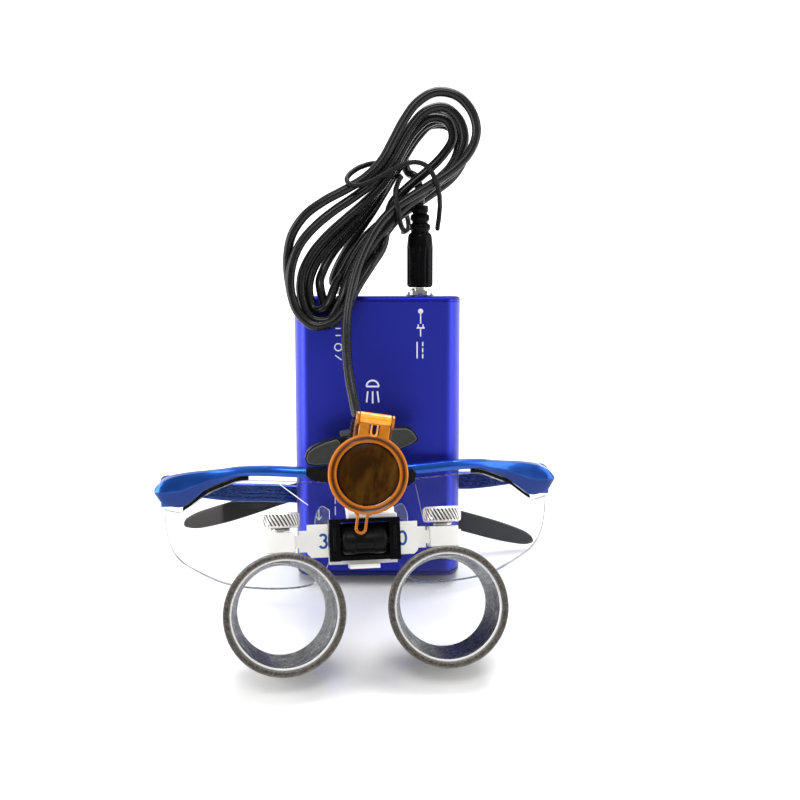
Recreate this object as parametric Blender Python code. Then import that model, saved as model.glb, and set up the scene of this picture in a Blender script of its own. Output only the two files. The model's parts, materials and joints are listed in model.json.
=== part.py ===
"""Dental loupes: spectacles with flip-up magnifiers and a headlight, folded round their battery pack.

The pack stands on its lower rear edge and leans back; the spectacles stand astride it with both
temples folded behind it, and the lamp cable is coiled above and plugged into the pack.
Millimetres in the tables, metres in the scene. X is right, Y is back, Z is up.
"""
import math

import bmesh
import bpy
from mathutils import Matrix, Vector

MM = 0.001
SHIFT = (7.18, 7.69)            # moves the whole assembly so its box is centred on the origin

# battery pack, in its own frame: x right, y back, z up along the case
PACK_W, PACK_D, PACK_H = 63.4, 24.0, 107.0
PACK_LEAN = 11.0                 # degrees back from upright
PACK_SIDE_X, PACK_SIDE_Y = 6.0, 11.6   # half axes of the rounded long edges
PACK_WALL = 1.5
PLATE_T = 1.8
CELL_R, CELL_L = 9.1, 65.0
JACK_X, SWITCH_X, MID_Y = 16.3, -12.5, 12.0
CHARGE_X, CHARGE_Y = -20.3, 5.4

# spectacles frame: origin on the brow's centre front
SPECS_AT = (-4.8, -6.7, 48.1)
SPECS_TURN = (-6.0, 0.8, 7.0)    # pitch back, roll, yaw
BROW_HALF = 76.5
HINGE_X, HINGE_Y, HINGE_Z = 72.5, 24.0, -8.6
HINGE_TILT = 4.0                 # hinge pins lean forward of the brow by this
LENS_T = 1.8
LENS_RAKE = 0.05                 # the shield slants forward by this much per unit of drop

# flip-up carriage frame: origin on the flip pin
FLIP_AT = (-3.4, -42.5, -8.3)
FLIP_TURN = (-19.0, 0.0, 0.0)
BAR_Y0, BAR_Y1 = 5.2, 8.8
PD_HALF = 27.0                   # slider centre from the midline
BARREL_X, BARREL_Y, BARREL_Z = 26.65, 5.0, -22.3
TOE_IN = 3.4
BARREL_R, EYE_R = 19.4, 16.0

# lamp frame: origin on the filter's centre, y back along the beam
LAMP_AT = (-2.0, -42.8, 13.8)
LAMP_TURN = (-16.0, 9.0, -3.0)
LAMP_R = 10.3
FILTER_R, FILTER_HOLE = 12.9, 10.4
FILTER_PIN_Z = 17.8
TILT_Y, TILT_Z = 19.2, 2.0
CLIP_AT = (-1.0, -0.6, 9.0)
CLIP_TURN = (0.0, -8.5, 0.0)

CABLE_R = 1.7
CABLE_SIDES = 5

# cable centre line, lamp end first, in assembly millimetres
CABLE_ROUTE = [
    (-5.7, -27.4, 78.7), (-7.4, -20.9, 84.2), (-8.8, -14.3, 89.3), (-9.8, -7.9, 94.7),
    (-10.3, -1.9, 100.5), (-10.1, 3.6, 107.2), (-8.8, 8.4, 114.5), (-6.6, 12.6, 122),
    (-3.4, 16.5, 129.2), (0.7, 19.9, 135.9), (6.4, 22.7, 141.7), (13.6, 24.7, 146.3),
    (21.1, 26.4, 150.7), (28.3, 28.3, 155.3), (34.1, 30.4, 161.1), (36.7, 32.8, 168.2),
    (34.9, 35.1, 175.4), (29.4, 36.7, 180.9), (21.7, 36.8, 182.1), (15, 35.5, 178.5),
    (10.1, 33.1, 172.4), (6.2, 30.3, 165.5), (2.1, 27.4, 158.5), (-3.8, 25.1, 152.7),
    (-11.1, 23.4, 148.5), (-18.8, 21.8, 144.6), (-25.8, 20.4, 139.6), (-30.6, 19.1, 132.7),
    (-32.4, 17.8, 124.3), (-31.9, 16.3, 115.7), (-29.9, 15.2, 107.4), (-24.7, 14.3, 101.1),
    (-17.2, 14.6, 100.4), (-10.7, 15.5, 105.8), (-7.3, 19, 114.5), (-4.6, 22.5, 120.7),
    (-1.2, 23.5, 128.7), (4.4, 25.3, 135.2), (10.2, 27.9, 141.3), (17.2, 29.6, 146.3),
    (23.9, 32, 151.5), (29.5, 34.2, 157.8), (32.5, 36.3, 165.1), (30.7, 38.2, 172.3),
    (24.9, 39.1, 176.7), (17.8, 38.4, 175.1), (12.5, 36.2, 169.7), (8.3, 33.4, 163.1),
    (4, 30.5, 156.3), (-1.6, 27.8, 150.3), (-8.3, 25, 145.5), (-15.4, 22.2, 141),
    (-22, 19.5, 135.9), (-27.5, 16.7, 129.7), (-30.5, 13.7, 122.2), (-30.9, 11.2, 114.1),
    (-28.3, 8.5, 106.6), (-22.4, 6.9, 101.7), (-15.4, 7.8, 103.4), (-10.2, 10.7, 109.1),
    (-6.2, 15.1, 115.4), (-1.7, 19.5, 121.7), (2.3, 25.8, 127.3), (3.8, 29.3, 134.8),
    (5.7, 32.2, 142.4), (11.5, 35.3, 148), (18.2, 37.6, 153.3), (24.3, 39.5, 158.9),
    (28.4, 40.8, 165.4), (26.2, 41.8, 171.7), (19.6, 41.7, 172.6), (13.8, 39.9, 168),
    (9.6, 37.1, 161.7), (5.7, 33.9, 154.7), (0.9, 30.6, 148.2), (-5.3, 27.7, 142.6),
    (-11.8, 25.2, 137.3), (-18.2, 22.8, 131.8), (-23.7, 20, 125.6), (-27.2, 16.8, 118.4),
    (-27.2, 13.5, 110.6), (-24, 11.1, 103.7), (-17.3, 11.4, 103), (-13, 13.7, 109.4),
    (-10.8, 18.8, 116.4), (-7.6, 24.7, 122.5), (-3.3, 29.4, 128.4), (2.3, 33.1, 134.3),
    (8.8, 33.8, 140.1), (15.3, 33.2, 146.1), (22.4, 37, 150.4), (28.2, 40.5, 155.9),
    (30.8, 43.5, 162.9), (28.7, 45.6, 170.1), (22.5, 46.1, 173.9), (15.8, 45, 171.1),
    (10.7, 42.7, 165.4), (6.5, 39.8, 158.7), (2.8, 36.6, 151.8), (-1.2, 33.4, 144.9),
    (-6.5, 30.3, 138.6), (-12.6, 27.3, 132.8), (-18.5, 24.3, 126.9), (-23.2, 21.2, 120.2),
    (-24.9, 17.7, 112.9), (-22.9, 14.9, 106.1), (-18.4, 13, 107.1), (-15, 19.2, 114.4),
    (-12.1, 24.9, 118.4), (-8.4, 30.1, 124.5), (-3.7, 34.4, 130.3), (2.3, 37.9, 135.2),
    (8.7, 41.4, 139.8), (15.5, 45.5, 145), (23.4, 44.9, 148.8), (29.8, 45.9, 153.5),
    (32.6, 47.7, 160.2), (30.6, 49.3, 167.3), (24.7, 50, 171.7), (17.8, 48.9, 169.6),
    (12.7, 46.6, 164), (8.4, 43.6, 157.4), (4.4, 40.4, 150.6), (0.1, 37.3, 143.7),
    (-5, 34.1, 137.2), (-10.7, 30.9, 131.2), (-16.2, 27.5, 125.1), (-20, 23.5, 118.6),
    (-20.9, 19.1, 113.9), (-17.9, 16.3, 105.5), (-12.8, 17.9, 109.8), (-8.8, 25.5, 113.7),
    (-5.5, 31.1, 117.7), (-1.6, 36, 123.9), (3.1, 40.1, 130.1), (8.5, 43.6, 136.1),
    (15.5, 46.4, 140.6), (22.7, 48.1, 145.4), (29.3, 49.6, 150.6), (33.3, 51.5, 157.2),
    (32.8, 53.3, 164.6), (27.8, 54.4, 170.2), (20.9, 54, 170.1), (15.3, 52, 165),
    (10.8, 49.1, 158.6), (6.7, 46, 151.9), (2.4, 42.8, 145.1), (-2.1, 39.8, 138.1),
    (-6.9, 37, 131.4), (-11.7, 34.5, 124.5), (-15.6, 32.3, 117.4), (-16.8, 31.4, 112.8),
    (-14, 32.7, 112.5), (-12.4, 35, 113.9), (-10.2, 38.4, 120), (-6, 41.9, 126.5),
    (-0.3, 45.2, 132.1), (6.8, 47.9, 136.2), (14.1, 50.4, 140.4), (21.2, 52.6, 145),
    (27.7, 54.6, 150.3), (32.3, 56.4, 157), (32.1, 58, 164.4), (26.5, 58.9, 169.3),
    (18.9, 58.4, 168.8), (13.1, 56.4, 163.7), (10.5, 53.3, 156.7), (11.8, 49.1, 152.3),
    (14.6, 44.3, 150.8), (16.3, 39.6, 145.5), (16.3, 38.8, 141.2),
]
TIE_R = 0.85

# wire tie round the hank
TIE_ROUTE = [
    (22.9, 37.4, 131.8), (23.1, 36.4, 134.2), (23.4, 35.3, 136.6), (23.5, 34.2, 138.8),
    (23.6, 33.1, 140.5), (23.6, 31.9, 141.8), (23.5, 30.7, 142.8), (23.4, 29.4, 143.8),
    (23.3, 28.2, 144.8), (23.2, 27, 145.8), (22.9, 25.8, 147.1), (22.6, 24.6, 148.7),
    (22.1, 23.7, 150.7), (21.2, 23.7, 152.6), (20.4, 23.7, 154.2), (19.5, 23.8, 155.5),
    (18.6, 23.7, 156.6), (17.4, 23.7, 157.4), (15.7, 23.7, 158), (13.9, 23.6, 158.2),
    (12, 23.4, 158), (10.1, 23.2, 157.5), (8.2, 23, 156.7), (6.2, 22.8, 155.7), (4.1, 22.5, 154.6),
    (1.7, 22.2, 153.3), (-0.8, 21.9, 152), (-3.3, 21.6, 151), (-5.7, 21.3, 150.3),
    (-7.8, 21.1, 150.2), (-9.4, 21.2, 150.7), (-10.4, 22.3, 151.6), (-10.5, 24.1, 152.4),
    (-9.8, 26.1, 153.5), (-8.2, 28.1, 154.7), (-6.3, 30.1, 155.7), (-4.6, 32, 156.2),
    (-3.3, 33.9, 156.5), (-2.2, 35.7, 156.6), (-1.1, 37.5, 156.6), (-0.1, 39.3, 156.5),
    (0.9, 41.1, 156.2), (1.9, 42.8, 155.9), (2.9, 44.5, 155.5), (4, 46.2, 154.9), (5, 47.9, 154.1),
    (6.2, 49.1, 153), (7.6, 49.1, 151.8), (8.7, 48, 150.9), (9.1, 45.8, 150.5), (8.7, 43.6, 150.5),
    (8.5, 41.4, 150.4), (8.3, 39.2, 150.1), (8.1, 37, 149.9), (7.9, 34.8, 149.6),
    (7.7, 32.6, 149.3), (7.5, 30.4, 149), (7.3, 28.2, 148.5), (7.1, 26, 147.8), (7.1, 23.7, 146.6),
    (7.2, 21.3, 144.8), (8, 20.3, 142), (8.3, 21.9, 139.2), (8.7, 23.9, 136.8), (9.2, 25.9, 134.9),
    (9.7, 28, 133.6), (10.1, 30.2, 132.6), (10.3, 32.4, 131.9), (10.1, 34.7, 131.3),
    (9.9, 37.2, 131), (10.5, 39.7, 130.8), (11.4, 41.7, 131), (11.8, 43.6, 131.4),
    (12, 45.6, 131.9), (12, 47.7, 132.7), (11.8, 49.8, 133.7), (11.4, 52, 135.3),
    (10.7, 54.2, 137.2),
]

MATERIALS = {                    # colour, roughness, metallic, alpha
    "anodised_blue": ((0.012, 0.016, 0.42), 0.38, 0.85, 1.0),
    "plate_navy": ((0.01, 0.012, 0.12), 0.45, 0.6, 1.0),
    "screw_steel": ((0.55, 0.55, 0.56), 0.3, 1.0, 1.0),
    "nickel": ((0.75, 0.74, 0.7), 0.22, 1.0, 1.0),
    "cell_green": ((0.05, 0.25, 0.12), 0.45, 0.0, 1.0),
    "board_green": ((0.01, 0.16, 0.07), 0.5, 0.0, 1.0),
    "frame_blue": ((0.01, 0.09, 0.62), 0.25, 0.45, 1.0),
    "clear": ((0.93, 0.96, 0.97), 0.05, 0.0, 0.12),
    "rubber_black": ((0.012, 0.012, 0.013), 0.75, 0.0, 1.0),
    "plastic_black": ((0.015, 0.015, 0.016), 0.42, 0.0, 1.0),
    "plastic_white": ((0.82, 0.83, 0.82), 0.4, 0.0, 1.0),
    "barrel_grey": ((0.33, 0.31, 0.28), 0.38, 0.95, 1.0),
    "orange": ((0.85, 0.26, 0.01), 0.2, 0.0, 0.8),
    "amber": ((0.16, 0.05, 0.0), 0.1, 0.0, 0.9),
    "led_yellow": ((0.9, 0.75, 0.2), 0.4, 0.0, 1.0),
    "alloy": ((0.72, 0.72, 0.73), 0.3, 1.0, 1.0),
}


# ---------------------------------------------------------------- helpers
def clear_scene():
    for obj in list(bpy.data.objects):
        bpy.data.objects.remove(obj, do_unlink=True)


def collection(name):
    coll = bpy.data.collections.new(name)
    bpy.context.scene.collection.children.link(coll)
    return coll


def material(name):
    mat = bpy.data.materials.get(name)
    if mat:
        return mat
    colour, rough, metal, alpha = MATERIALS[name]
    mat = bpy.data.materials.new(name)
    mat.use_nodes = True
    shader = mat.node_tree.nodes["Principled BSDF"]
    shader.inputs["Base Color"].default_value = (*colour, 1.0)
    shader.inputs["Roughness"].default_value = rough
    shader.inputs["Metallic"].default_value = metal
    shader.inputs["Alpha"].default_value = alpha
    mat.diffuse_color = (*colour, alpha)
    return mat


def frame(name, at, turn, parent=None):
    empty = bpy.data.objects.new(name, None)
    PARTS.objects.link(empty)
    empty.parent = parent
    empty.location = [v * MM for v in at]
    empty.rotation_euler = [math.radians(v) for v in turn]
    return empty


def place(name, bm, parent, mat=None, smooth=False):
    """Turn a bmesh in millimetres into an object; without a material it is a cutter."""
    bmesh.ops.recalc_face_normals(bm, faces=bm.faces)
    for vert in bm.verts:
        vert.co *= MM
    mesh = bpy.data.meshes.new(name)
    bm.to_mesh(mesh)
    bm.free()
    obj = bpy.data.objects.new(name, mesh)
    obj.parent = parent
    if mat:
        mesh.materials.append(material(mat))
        PARTS.objects.link(obj)
        for poly in mesh.polygons:
            poly.use_smooth = smooth
    else:
        CUTTERS.objects.link(obj)
        obj.hide_render = True
        obj.display_type = "WIRE"
    return obj


def boolean(obj, other, operation):
    mod = obj.modifiers.new(operation.lower(), "BOOLEAN")
    mod.operation = operation
    mod.solver = "EXACT"
    mod.object = other


def cut(obj, *others):
    for other in others:
        boolean(obj, other, "DIFFERENCE")


def join(obj, *others):
    for other in others:
        boolean(obj, other, "UNION")


AXES = {"x": (Vector((0, 1, 0)), Vector((0, 0, 1)), Vector((1, 0, 0))),
        "y": (Vector((0, 0, 1)), Vector((1, 0, 0)), Vector((0, 1, 0))),
        "z": (Vector((1, 0, 0)), Vector((0, 1, 0)), Vector((0, 0, 1)))}


def lathe(profile, axis="z", at=(0, 0, 0), sides=32):
    """Revolve a closed (radius, height) outline about an axis; radius 0 points meet on the axis."""
    e1, e2, e3 = AXES[axis]
    bm = bmesh.new()
    rings = []
    for radius, height in profile:
        base = Vector(at) + e3 * height
        if radius < 1e-6:
            rings.append([bm.verts.new(base)])
            continue
        ring = []
        for k in range(sides):
            ang = 2 * math.pi * k / sides
            ring.append(bm.verts.new(base + (e1 * math.cos(ang) + e2 * math.sin(ang)) * radius))
        rings.append(ring)
    for a, b in zip(rings, rings[1:] + rings[:1]):
        if len(a) == 1 and len(b) == 1:
            continue
        for k in range(sides):
            n = (k + 1) % sides
            if len(a) == 1:
                bm.faces.new((a[0], b[k], b[n]))
            elif len(b) == 1:
                bm.faces.new((a[k], b[0], a[n]))
            else:
                bm.faces.new((a[k], b[k], b[n], a[n]))
    return bm


def rod(radius, low, high, axis="z", at=(0, 0, 0), sides=24):
    return lathe([(0, low), (radius, low), (radius, high), (0, high)], axis, at, sides)


def tube(inner, outer, low, high, axis="z", at=(0, 0, 0), sides=32):
    return lathe([(inner, low), (outer, low), (outer, high), (inner, high)], axis, at, sides)


def block(x0, x1, y0, y1, z0, z1):
    bm = bmesh.new()
    bmesh.ops.create_cube(bm, size=1.0)
    for vert in bm.verts:
        vert.co = Vector((x0 + (vert.co.x + 0.5) * (x1 - x0), y0 + (vert.co.y + 0.5) * (y1 - y0),
                          z0 + (vert.co.z + 0.5) * (z1 - z0)))
    return bm


def prism(outline, low, high, axis="z"):
    """Push a closed outline along an axis. Outline pairs are (y,z), (x,z) or (x,y)."""
    bm = bmesh.new()

    def point(a, b, h):
        return {"x": (h, a, b), "y": (a, h, b), "z": (a, b, h)}[axis]

    lower = [bm.verts.new(point(a, b, low)) for a, b in outline]
    upper = [bm.verts.new(point(a, b, high)) for a, b in outline]
    bm.faces.new(lower)
    bm.faces.new(upper)
    for k in range(len(outline)):
        n = (k + 1) % len(outline)
        bm.faces.new((lower[k], lower[n], upper[n], upper[k]))
    return bm


def hollow_prism(outer, inner, low, high):
    bm = bmesh.new()
    loops = [[bm.verts.new((x, y, h)) for x, y in line] for h in (low, high) for line in (outer, inner)]
    count = len(outer)
    for k in range(count):
        n = (k + 1) % count
        for a, b in ((0, 2), (1, 3), (0, 1), (2, 3)):
            bm.faces.new((loops[a][k], loops[a][n], loops[b][n], loops[b][k]))
    return bm


def loft(sections):
    """Skin a list of equal closed rings and cap both ends."""
    bm = bmesh.new()
    rings = [[bm.verts.new(p) for p in ring] for ring in sections]
    count = len(rings[0])
    for a, b in zip(rings, rings[1:]):
        for k in range(count):
            n = (k + 1) % count
            bm.faces.new((a[k], a[n], b[n], b[k]))
    bm.faces.new(rings[0])
    bm.faces.new(rings[-1])
    bmesh.ops.triangulate(bm, faces=[f for f in bm.faces if len(f.verts) > 4])
    return bm


def curve_through(points, steps):
    """Catmull-Rom points through a route."""
    pts = [Vector(p) for p in points]
    out = []
    for i in range(len(pts) - 1):
        p0, p1, p2, p3 = pts[max(i - 1, 0)], pts[i], pts[i + 1], pts[min(i + 2, len(pts) - 1)]
        for k in range(steps):
            t = k / steps
            out.append(0.5 * (2 * p1 + (p2 - p0) * t + (2 * p0 - 5 * p1 + 4 * p2 - p3) * t * t
                              + (3 * p1 - p0 - 3 * p2 + p3) * t ** 3))
    return out + [pts[-1]]


def sweep(route, radius, sides, closed=False):
    """Round bar along a route, its section carried without twist."""
    sections = []
    side = None
    for i, here in enumerate(route):
        ahead = route[min(i + 1, len(route) - 1)] - route[max(i - 1, 0)]
        ahead.normalize()
        if side is None:
            side = ahead.orthogonal().normalized()
        side = (side - ahead * side.dot(ahead)).normalized()
        up = ahead.cross(side)
        sections.append([here + (side * math.cos(2 * math.pi * k / sides)
                                 + up * math.sin(2 * math.pi * k / sides)) * radius
                         for k in range(sides)])
    return loft(sections)


def mirrored(points, side):
    return [(side * p[0], *p[1:]) for p in points]


# ---------------------------------------------------------------- battery pack
def pack_outline(width, depth, side_x, side_y, steps=6):
    pts = []
    for sx, sy in ((1, 1), (-1, 1), (-1, -1), (1, -1)):
        arc = []
        for k in range(steps + 1):
            ang = math.pi / 2 * k / steps
            arc.append((sx * (width / 2 - side_x + side_x * math.cos(ang)),
                        sy * (depth / 2 - side_y + side_y * math.sin(ang)) + MID_Y))
        pts += arc if sx * sy > 0 else arc[::-1]
    return pts


def build_pack(pack):
    outer = pack_outline(PACK_W, PACK_D, PACK_SIDE_X, PACK_SIDE_Y)
    inner = pack_outline(48.0, PACK_D - 2 * PACK_WALL - 0.4, 1.2, 1.2)
    shell = place("pack_shell", hollow_prism(outer, inner, PLATE_T + 0.1, PACK_H - PLATE_T - 0.1),
                  pack, "anodised_blue")
    top = place("top_plate", prism(outer, PACK_H - PLATE_T, PACK_H), pack, "anodised_blue")
    base = place("bottom_plate", prism(outer, 0.0, PLATE_T), pack, "plate_navy")
    for tag, x in (("left", -27.3), ("right", 27.3)):
        cone = lathe([(0, PACK_H + 1), (2.5, PACK_H + 1), (2.5, PACK_H), (1.35, PACK_H - 1.2),
                      (1.35, PACK_H - 9), (0, PACK_H - 9)], at=(x, MID_Y, 0), sides=16)
        hole = place("screw_hole_" + tag, cone, pack)
        cut(shell, hole)
        cut(top, hole)
        head = lathe([(0, PACK_H - 0.1), (2.2, PACK_H - 0.1), (1.15, PACK_H - 1.3),
                      (1.15, PACK_H - 8), (0, PACK_H - 8)], at=(x, MID_Y, 0), sides=16)
        place("plate_screw_" + tag, head, pack, "screw_steel")
    cut(top, place("jack_hole", rod(4.25, 100, 110, at=(JACK_X, MID_Y, 0), sides=18), pack),
        place("switch_hole", rod(3.95, 100, 110, at=(SWITCH_X, MID_Y, 0), sides=18), pack))
    cut(base, place("charge_hole", rod(2.0, -2, 4, at=(CHARGE_X, CHARGE_Y, 0), sides=16), pack))
    cells = [(x + CELL_R * math.cos(a), MID_Y + CELL_R * math.sin(a)) for x, start in ((9.4, -90), (-9.4, 90))
             for a in (math.radians(start + 15 * k) for k in range(13))]
    place("battery", prism(cells, 4, 4 + CELL_L), pack, "cell_green")
    place("circuit_board", block(-20, 20, 18.0, 19.6, 72, 104), pack, "board_green")
    place("charge_jack", lathe([(0, 12), (2.7, 12), (2.7, 2.2), (1.2, 2.2), (1.2, 9), (0, 9)],
                               at=(CHARGE_X, CHARGE_Y, 0), sides=16), pack, "plastic_black")
    place("output_jack", lathe([(0, 91), (5.2, 91), (5.2, 104.9), (4.0, 104.9), (4.0, 110.0),
                                (3.0, 110.0), (3.0, 96.5), (0, 96.5)], at=(JACK_X, MID_Y, 0), sides=16),
          pack, "nickel")
    place("jack_nut", tube(4.2, 5.6, PACK_H + 0.1, 109.6, at=(JACK_X, MID_Y, 0), sides=18),
          pack, "nickel")
    place("switch_ring", lathe([(2.9, 96), (3.8, 96), (3.8, PACK_H + 0.1), (5.2, PACK_H + 0.1),
                                (4.8, 108.4), (2.9, 108.4)], at=(SWITCH_X, MID_Y, 0), sides=18), pack, "nickel")
    place("power_button", lathe([(0, 99), (2.65, 99), (2.65, 109.6), (2.2, 110.0), (0, 110.0)],
                                at=(SWITCH_X, MID_Y, 0), sides=18), pack, "screw_steel")


def build_plug(pack):
    body = [(0, 110.3), (4.4, 110.3), (5.0, 111.0), (5.0, 125.5), (4.5, 130.0), (3.5, 131.0),
            (3.5, 131.8), (3.9, 132.4), (3.9, 134.0), (3.0, 134.6), (3.0, 135.2), (3.6, 135.8),
            (3.6, 137.4), (2.8, 138.0), (2.8, 138.5), (3.2, 139.0), (3.0, 141.2), (0, 141.2)]
    place("plug_body", lathe(body, at=(JACK_X, MID_Y, 0), sides=16), pack, "plastic_black")
    place("plug_pin", lathe([(0, 97.5), (2.3, 97.5), (2.7, 98.2), (2.7, 110.2), (0, 110.2)],
                            at=(JACK_X, MID_Y, 0), sides=14), pack, "nickel")


# ---------------------------------------------------------------- spectacles
BROW = [  # x, front y, top z, bottom z, thickness
    (0.0, 0.0, 3.6, 0.2, 3.0), (10.0, 0.4, 3.7, 0.1, 3.0), (22.5, 2.3, 3.7, -0.1, 3.0),
    (33.5, 4.2, 4.0, 0.2, 3.0), (44.5, 7.2, 3.2, -0.4, 3.1), (51.0, 9.3, 1.9, -3.0, 3.3),
    (57.0, 11.4, 0.8, -6.1, 3.5), (62.0, 12.9, 0.0, -10.1, 3.8), (66.5, 14.2, -1.0, -13.4, 4.2),
    (70.5, 15.3, -2.2, -13.6, 5.0), (74.3, 16.4, -4.2, -12.4, 5.0), (76.5, 17.6, -6.4, -9.8, 4.0)]


def brow_at(x):
    """Front y, top z and bottom z of the brow at a place across it."""
    x = abs(x)
    for a, b in zip(BROW, BROW[1:]):
        if a[0] <= x <= b[0]:
            t = (x - a[0]) / (b[0] - a[0])
            return tuple(a[i] + (b[i] - a[i]) * t for i in (1, 2, 3))
    return BROW[-1][1:4]


def build_brow(specs):
    sections = []
    for side in (-1, 1):
        rows = BROW[::-1] if side < 0 else BROW[1:]
        for x, y, top, low, thick in rows:
            mid = (top + low) / 2
            edge = 0.22 * (top - low)
            sections.append([(side * x, y + 0.7, low), (side * x, y + 0.1, low + edge),
                             (side * x, y - 0.5, mid), (side * x, y + 0.1, top - edge),
                             (side * x, y + 0.8, top), (side * x, y + thick, top - 0.2),
                             (side * x, y + thick, low + 0.2)])
    brow = place("brow_frame", loft(sections), specs, "frame_blue")
    nose = prism([(-9, 1.5), (-9, -7.5), (-7.5, -9.3), (7.5, -9.3), (9, -7.5), (9, 1.5)], 0.3, 3.1, "y")
    join(brow, place("nose_block", nose, specs))
    for side, tag in ((-1, "left"), (1, "right")):
        lugs = HINGES[tag]
        for k, (low, high) in enumerate(((-4.9, -2.7), (2.7, 4.5))):
            outline = [(side * x, y) for x, y in
                       ((2.4, -0.5), (1.4, 2.1), (-1.4, 2.1), (-2.4, -0.5), (-3.2, -7.2), (2.2, -7.2))]
            lug = place("lug_%s_%d" % (tag, k), prism(outline, low, high), lugs)
            join(brow, lug)
        cut(brow, place("lug_bore_" + tag, rod(1.15, -8, 8, sides=16), lugs))
        place("hinge_pin_" + tag, rod(0.95, -4.8, 4.4, sides=16), lugs, "screw_steel")
    cut(brow, place("bracket_bore_1", rod(0.95, -3, 2.4, "y", (-5, 0, -6.4), 12), specs),
        place("bracket_bore_2", rod(0.95, -3, 2.4, "y", (5, 0, -6.4), 12), specs))


LENS_EDGE = [(0, -14.5), (6, -16.0), (9.5, -20.5), (11.8, -28.5), (13.6, -34.5), (17.5, -40.2), (24, -42.4),
             (34, -43.2), (44, -43.2), (52, -42.2), (58, -40.2), (63.5, -37.6), (67.5, -35.2),
             (70.4, -31.8), (72.2, -27.5), (73.2, -21.5), (73.4, -16.4)]


def lens_low(x):
    x = abs(x)
    for (x0, z0), (x1, z1) in zip(LENS_EDGE, LENS_EDGE[1:]):
        if x0 <= x <= x1:
            return z0 + (z1 - z0) * (x - x0) / (x1 - x0)
    return LENS_EDGE[-1][1]


def build_lens(specs):
    half = [0, 4.5, 9.3, 9.7, 11.8, 13.6, 17.5, 24, 31, 38, 44, 48, 52, 56, 60, 63.5, 67.5, 70.4, 72.2, 73.4]
    xs = [-x for x in half[:0:-1]] + half
    rows = 4
    bm = bmesh.new()
    front, back = [], []
    for x in xs:
        y, _, low = brow_at(x)
        top = -9.7 if abs(x) < 9.5 else low - 2.0
        bottom = lens_low(x)
        cols = []
        for r in range(rows + 1):
            z = top + (bottom - top) * r / rows
            cols.append((x, y + 0.9 + LENS_RAKE * (z + 9), z))
        front.append([bm.verts.new(p) for p in cols])
        back.append([bm.verts.new((p[0], p[1] + LENS_T, p[2])) for p in cols])
    for grid in (front, back):
        for a, b in zip(grid, grid[1:]):
            for r in range(rows):
                bm.faces.new((a[r], a[r + 1], b[r + 1], b[r]))
    for i in range(len(xs) - 1):
        for r in (0, rows):
            bm.faces.new((front[i][r], front[i + 1][r], back[i + 1][r], back[i][r]))
    for i in (0, -1):
        for r in range(rows):
            bm.faces.new((front[i][r], front[i][r + 1], back[i][r + 1], back[i][r]))
    place("lens_shield", bm, specs, "clear", True)
    for side, tag in ((-1, "left"), (1, "right")):
        sections = []
        for x in (42, 46, 51, 54, 57, 59.5, 62, 64.2, 66.5):
            y, _, low = brow_at(x)
            sections.append([(side * x, y + a, low + b) for a, b in
                             ((0.3, -0.3), (0.3, -1.3), (2.7, -1.3), (2.7, -0.3))])
        place("brow_lining_" + tag, loft(sections), specs, "rubber_black")
        pad = [(side * (12.0 + a), 5.6 + 0.22 * a + 0.0, z) for a, z in
               ((0, -14), (3.0, -12.5), (5.2, -16), (5.6, -21), (4.2, -25.5), (1.6, -26), (0.2, -21))]
        place("nose_pad_" + tag, loft([pad, [(x, y + 1.6, z) for x, y, z in pad]]), specs, "clear")


TEMPLES = {  # x, y, z, height of the folded arm; the index is where the ear tip begins
    "left": ([(-71.4, 26.0, -8.7, 4.2), (-68.5, 29.3, -9.6, 5.2), (-62, 33.6, -12.0, 7.0),
              (-50, 38.4, -15.3, 7.2), (-36, 42.0, -17.2, 7.2), (-24, 43.3, -18.6, 7.2),
              (-10, 42.4, -19.9, 7.2), (5, 40.6, -21.6, 7.4), (18, 38.8, -24.0, 7.6),
              (28, 37.8, -26.4, 8.0), (36, 37.0, -28.6, 8.4), (45, 36.2, -30.9, 8.6),
              (56, 35.5, -34.2, 8.4), (64, 35.2, -36.6, 7.4), (70, 35.0, -38.4, 5.6),
              (73.4, 35.0, -39.4, 2.4)], 8),
    "right": ([(71.4, 26.0, -8.7, 4.2), (68.5, 29.8, -9.5, 5.2), (62, 35.0, -11.6, 7.0),
               (50, 40.5, -14.4, 7.2), (40, 43.2, -15.0, 7.2), (25, 45.6, -15.5, 7.2),
               (8, 47.5, -16.0, 7.2), (-8, 49.0, -17.2, 7.2), (-20, 50.6, -19.2, 7.4),
               (-30, 52.2, -22.0, 7.8), (-38, 53.6, -24.8, 8.2), (-50, 55.6, -28.8, 8.6),
               (-60, 57.2, -31.8, 8.0), (-66, 58.1, -33.4, 6.6), (-70.4, 58.7, -34.4, 3.0)], 7)}
ARM_T = 2.8


def arm_sections(rows, first, last):
    sections = []
    for i in range(first, last + 1):
        x, y, z, tall = rows[i]
        a, b = rows[max(i - 1, 0)], rows[min(i + 1, len(rows) - 1)]
        along = Vector((b[0] - a[0], b[1] - a[1], 0)).normalized()
        out = Vector((along.y, -along.x, 0)) * ARM_T / 2
        here = Vector((x, y, z))
        h = tall / 2
        ring = []
        for o, v in ((1, -h * 0.7), (0.55, -h), (-0.55, -h), (-1, -h * 0.7),
                     (-1, h * 0.7), (-0.55, h), (0.55, h), (1, h * 0.7)):
            ring.append(here + out * o + Vector((0, 0, v)))
        sections.append(ring)
    return sections


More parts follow.
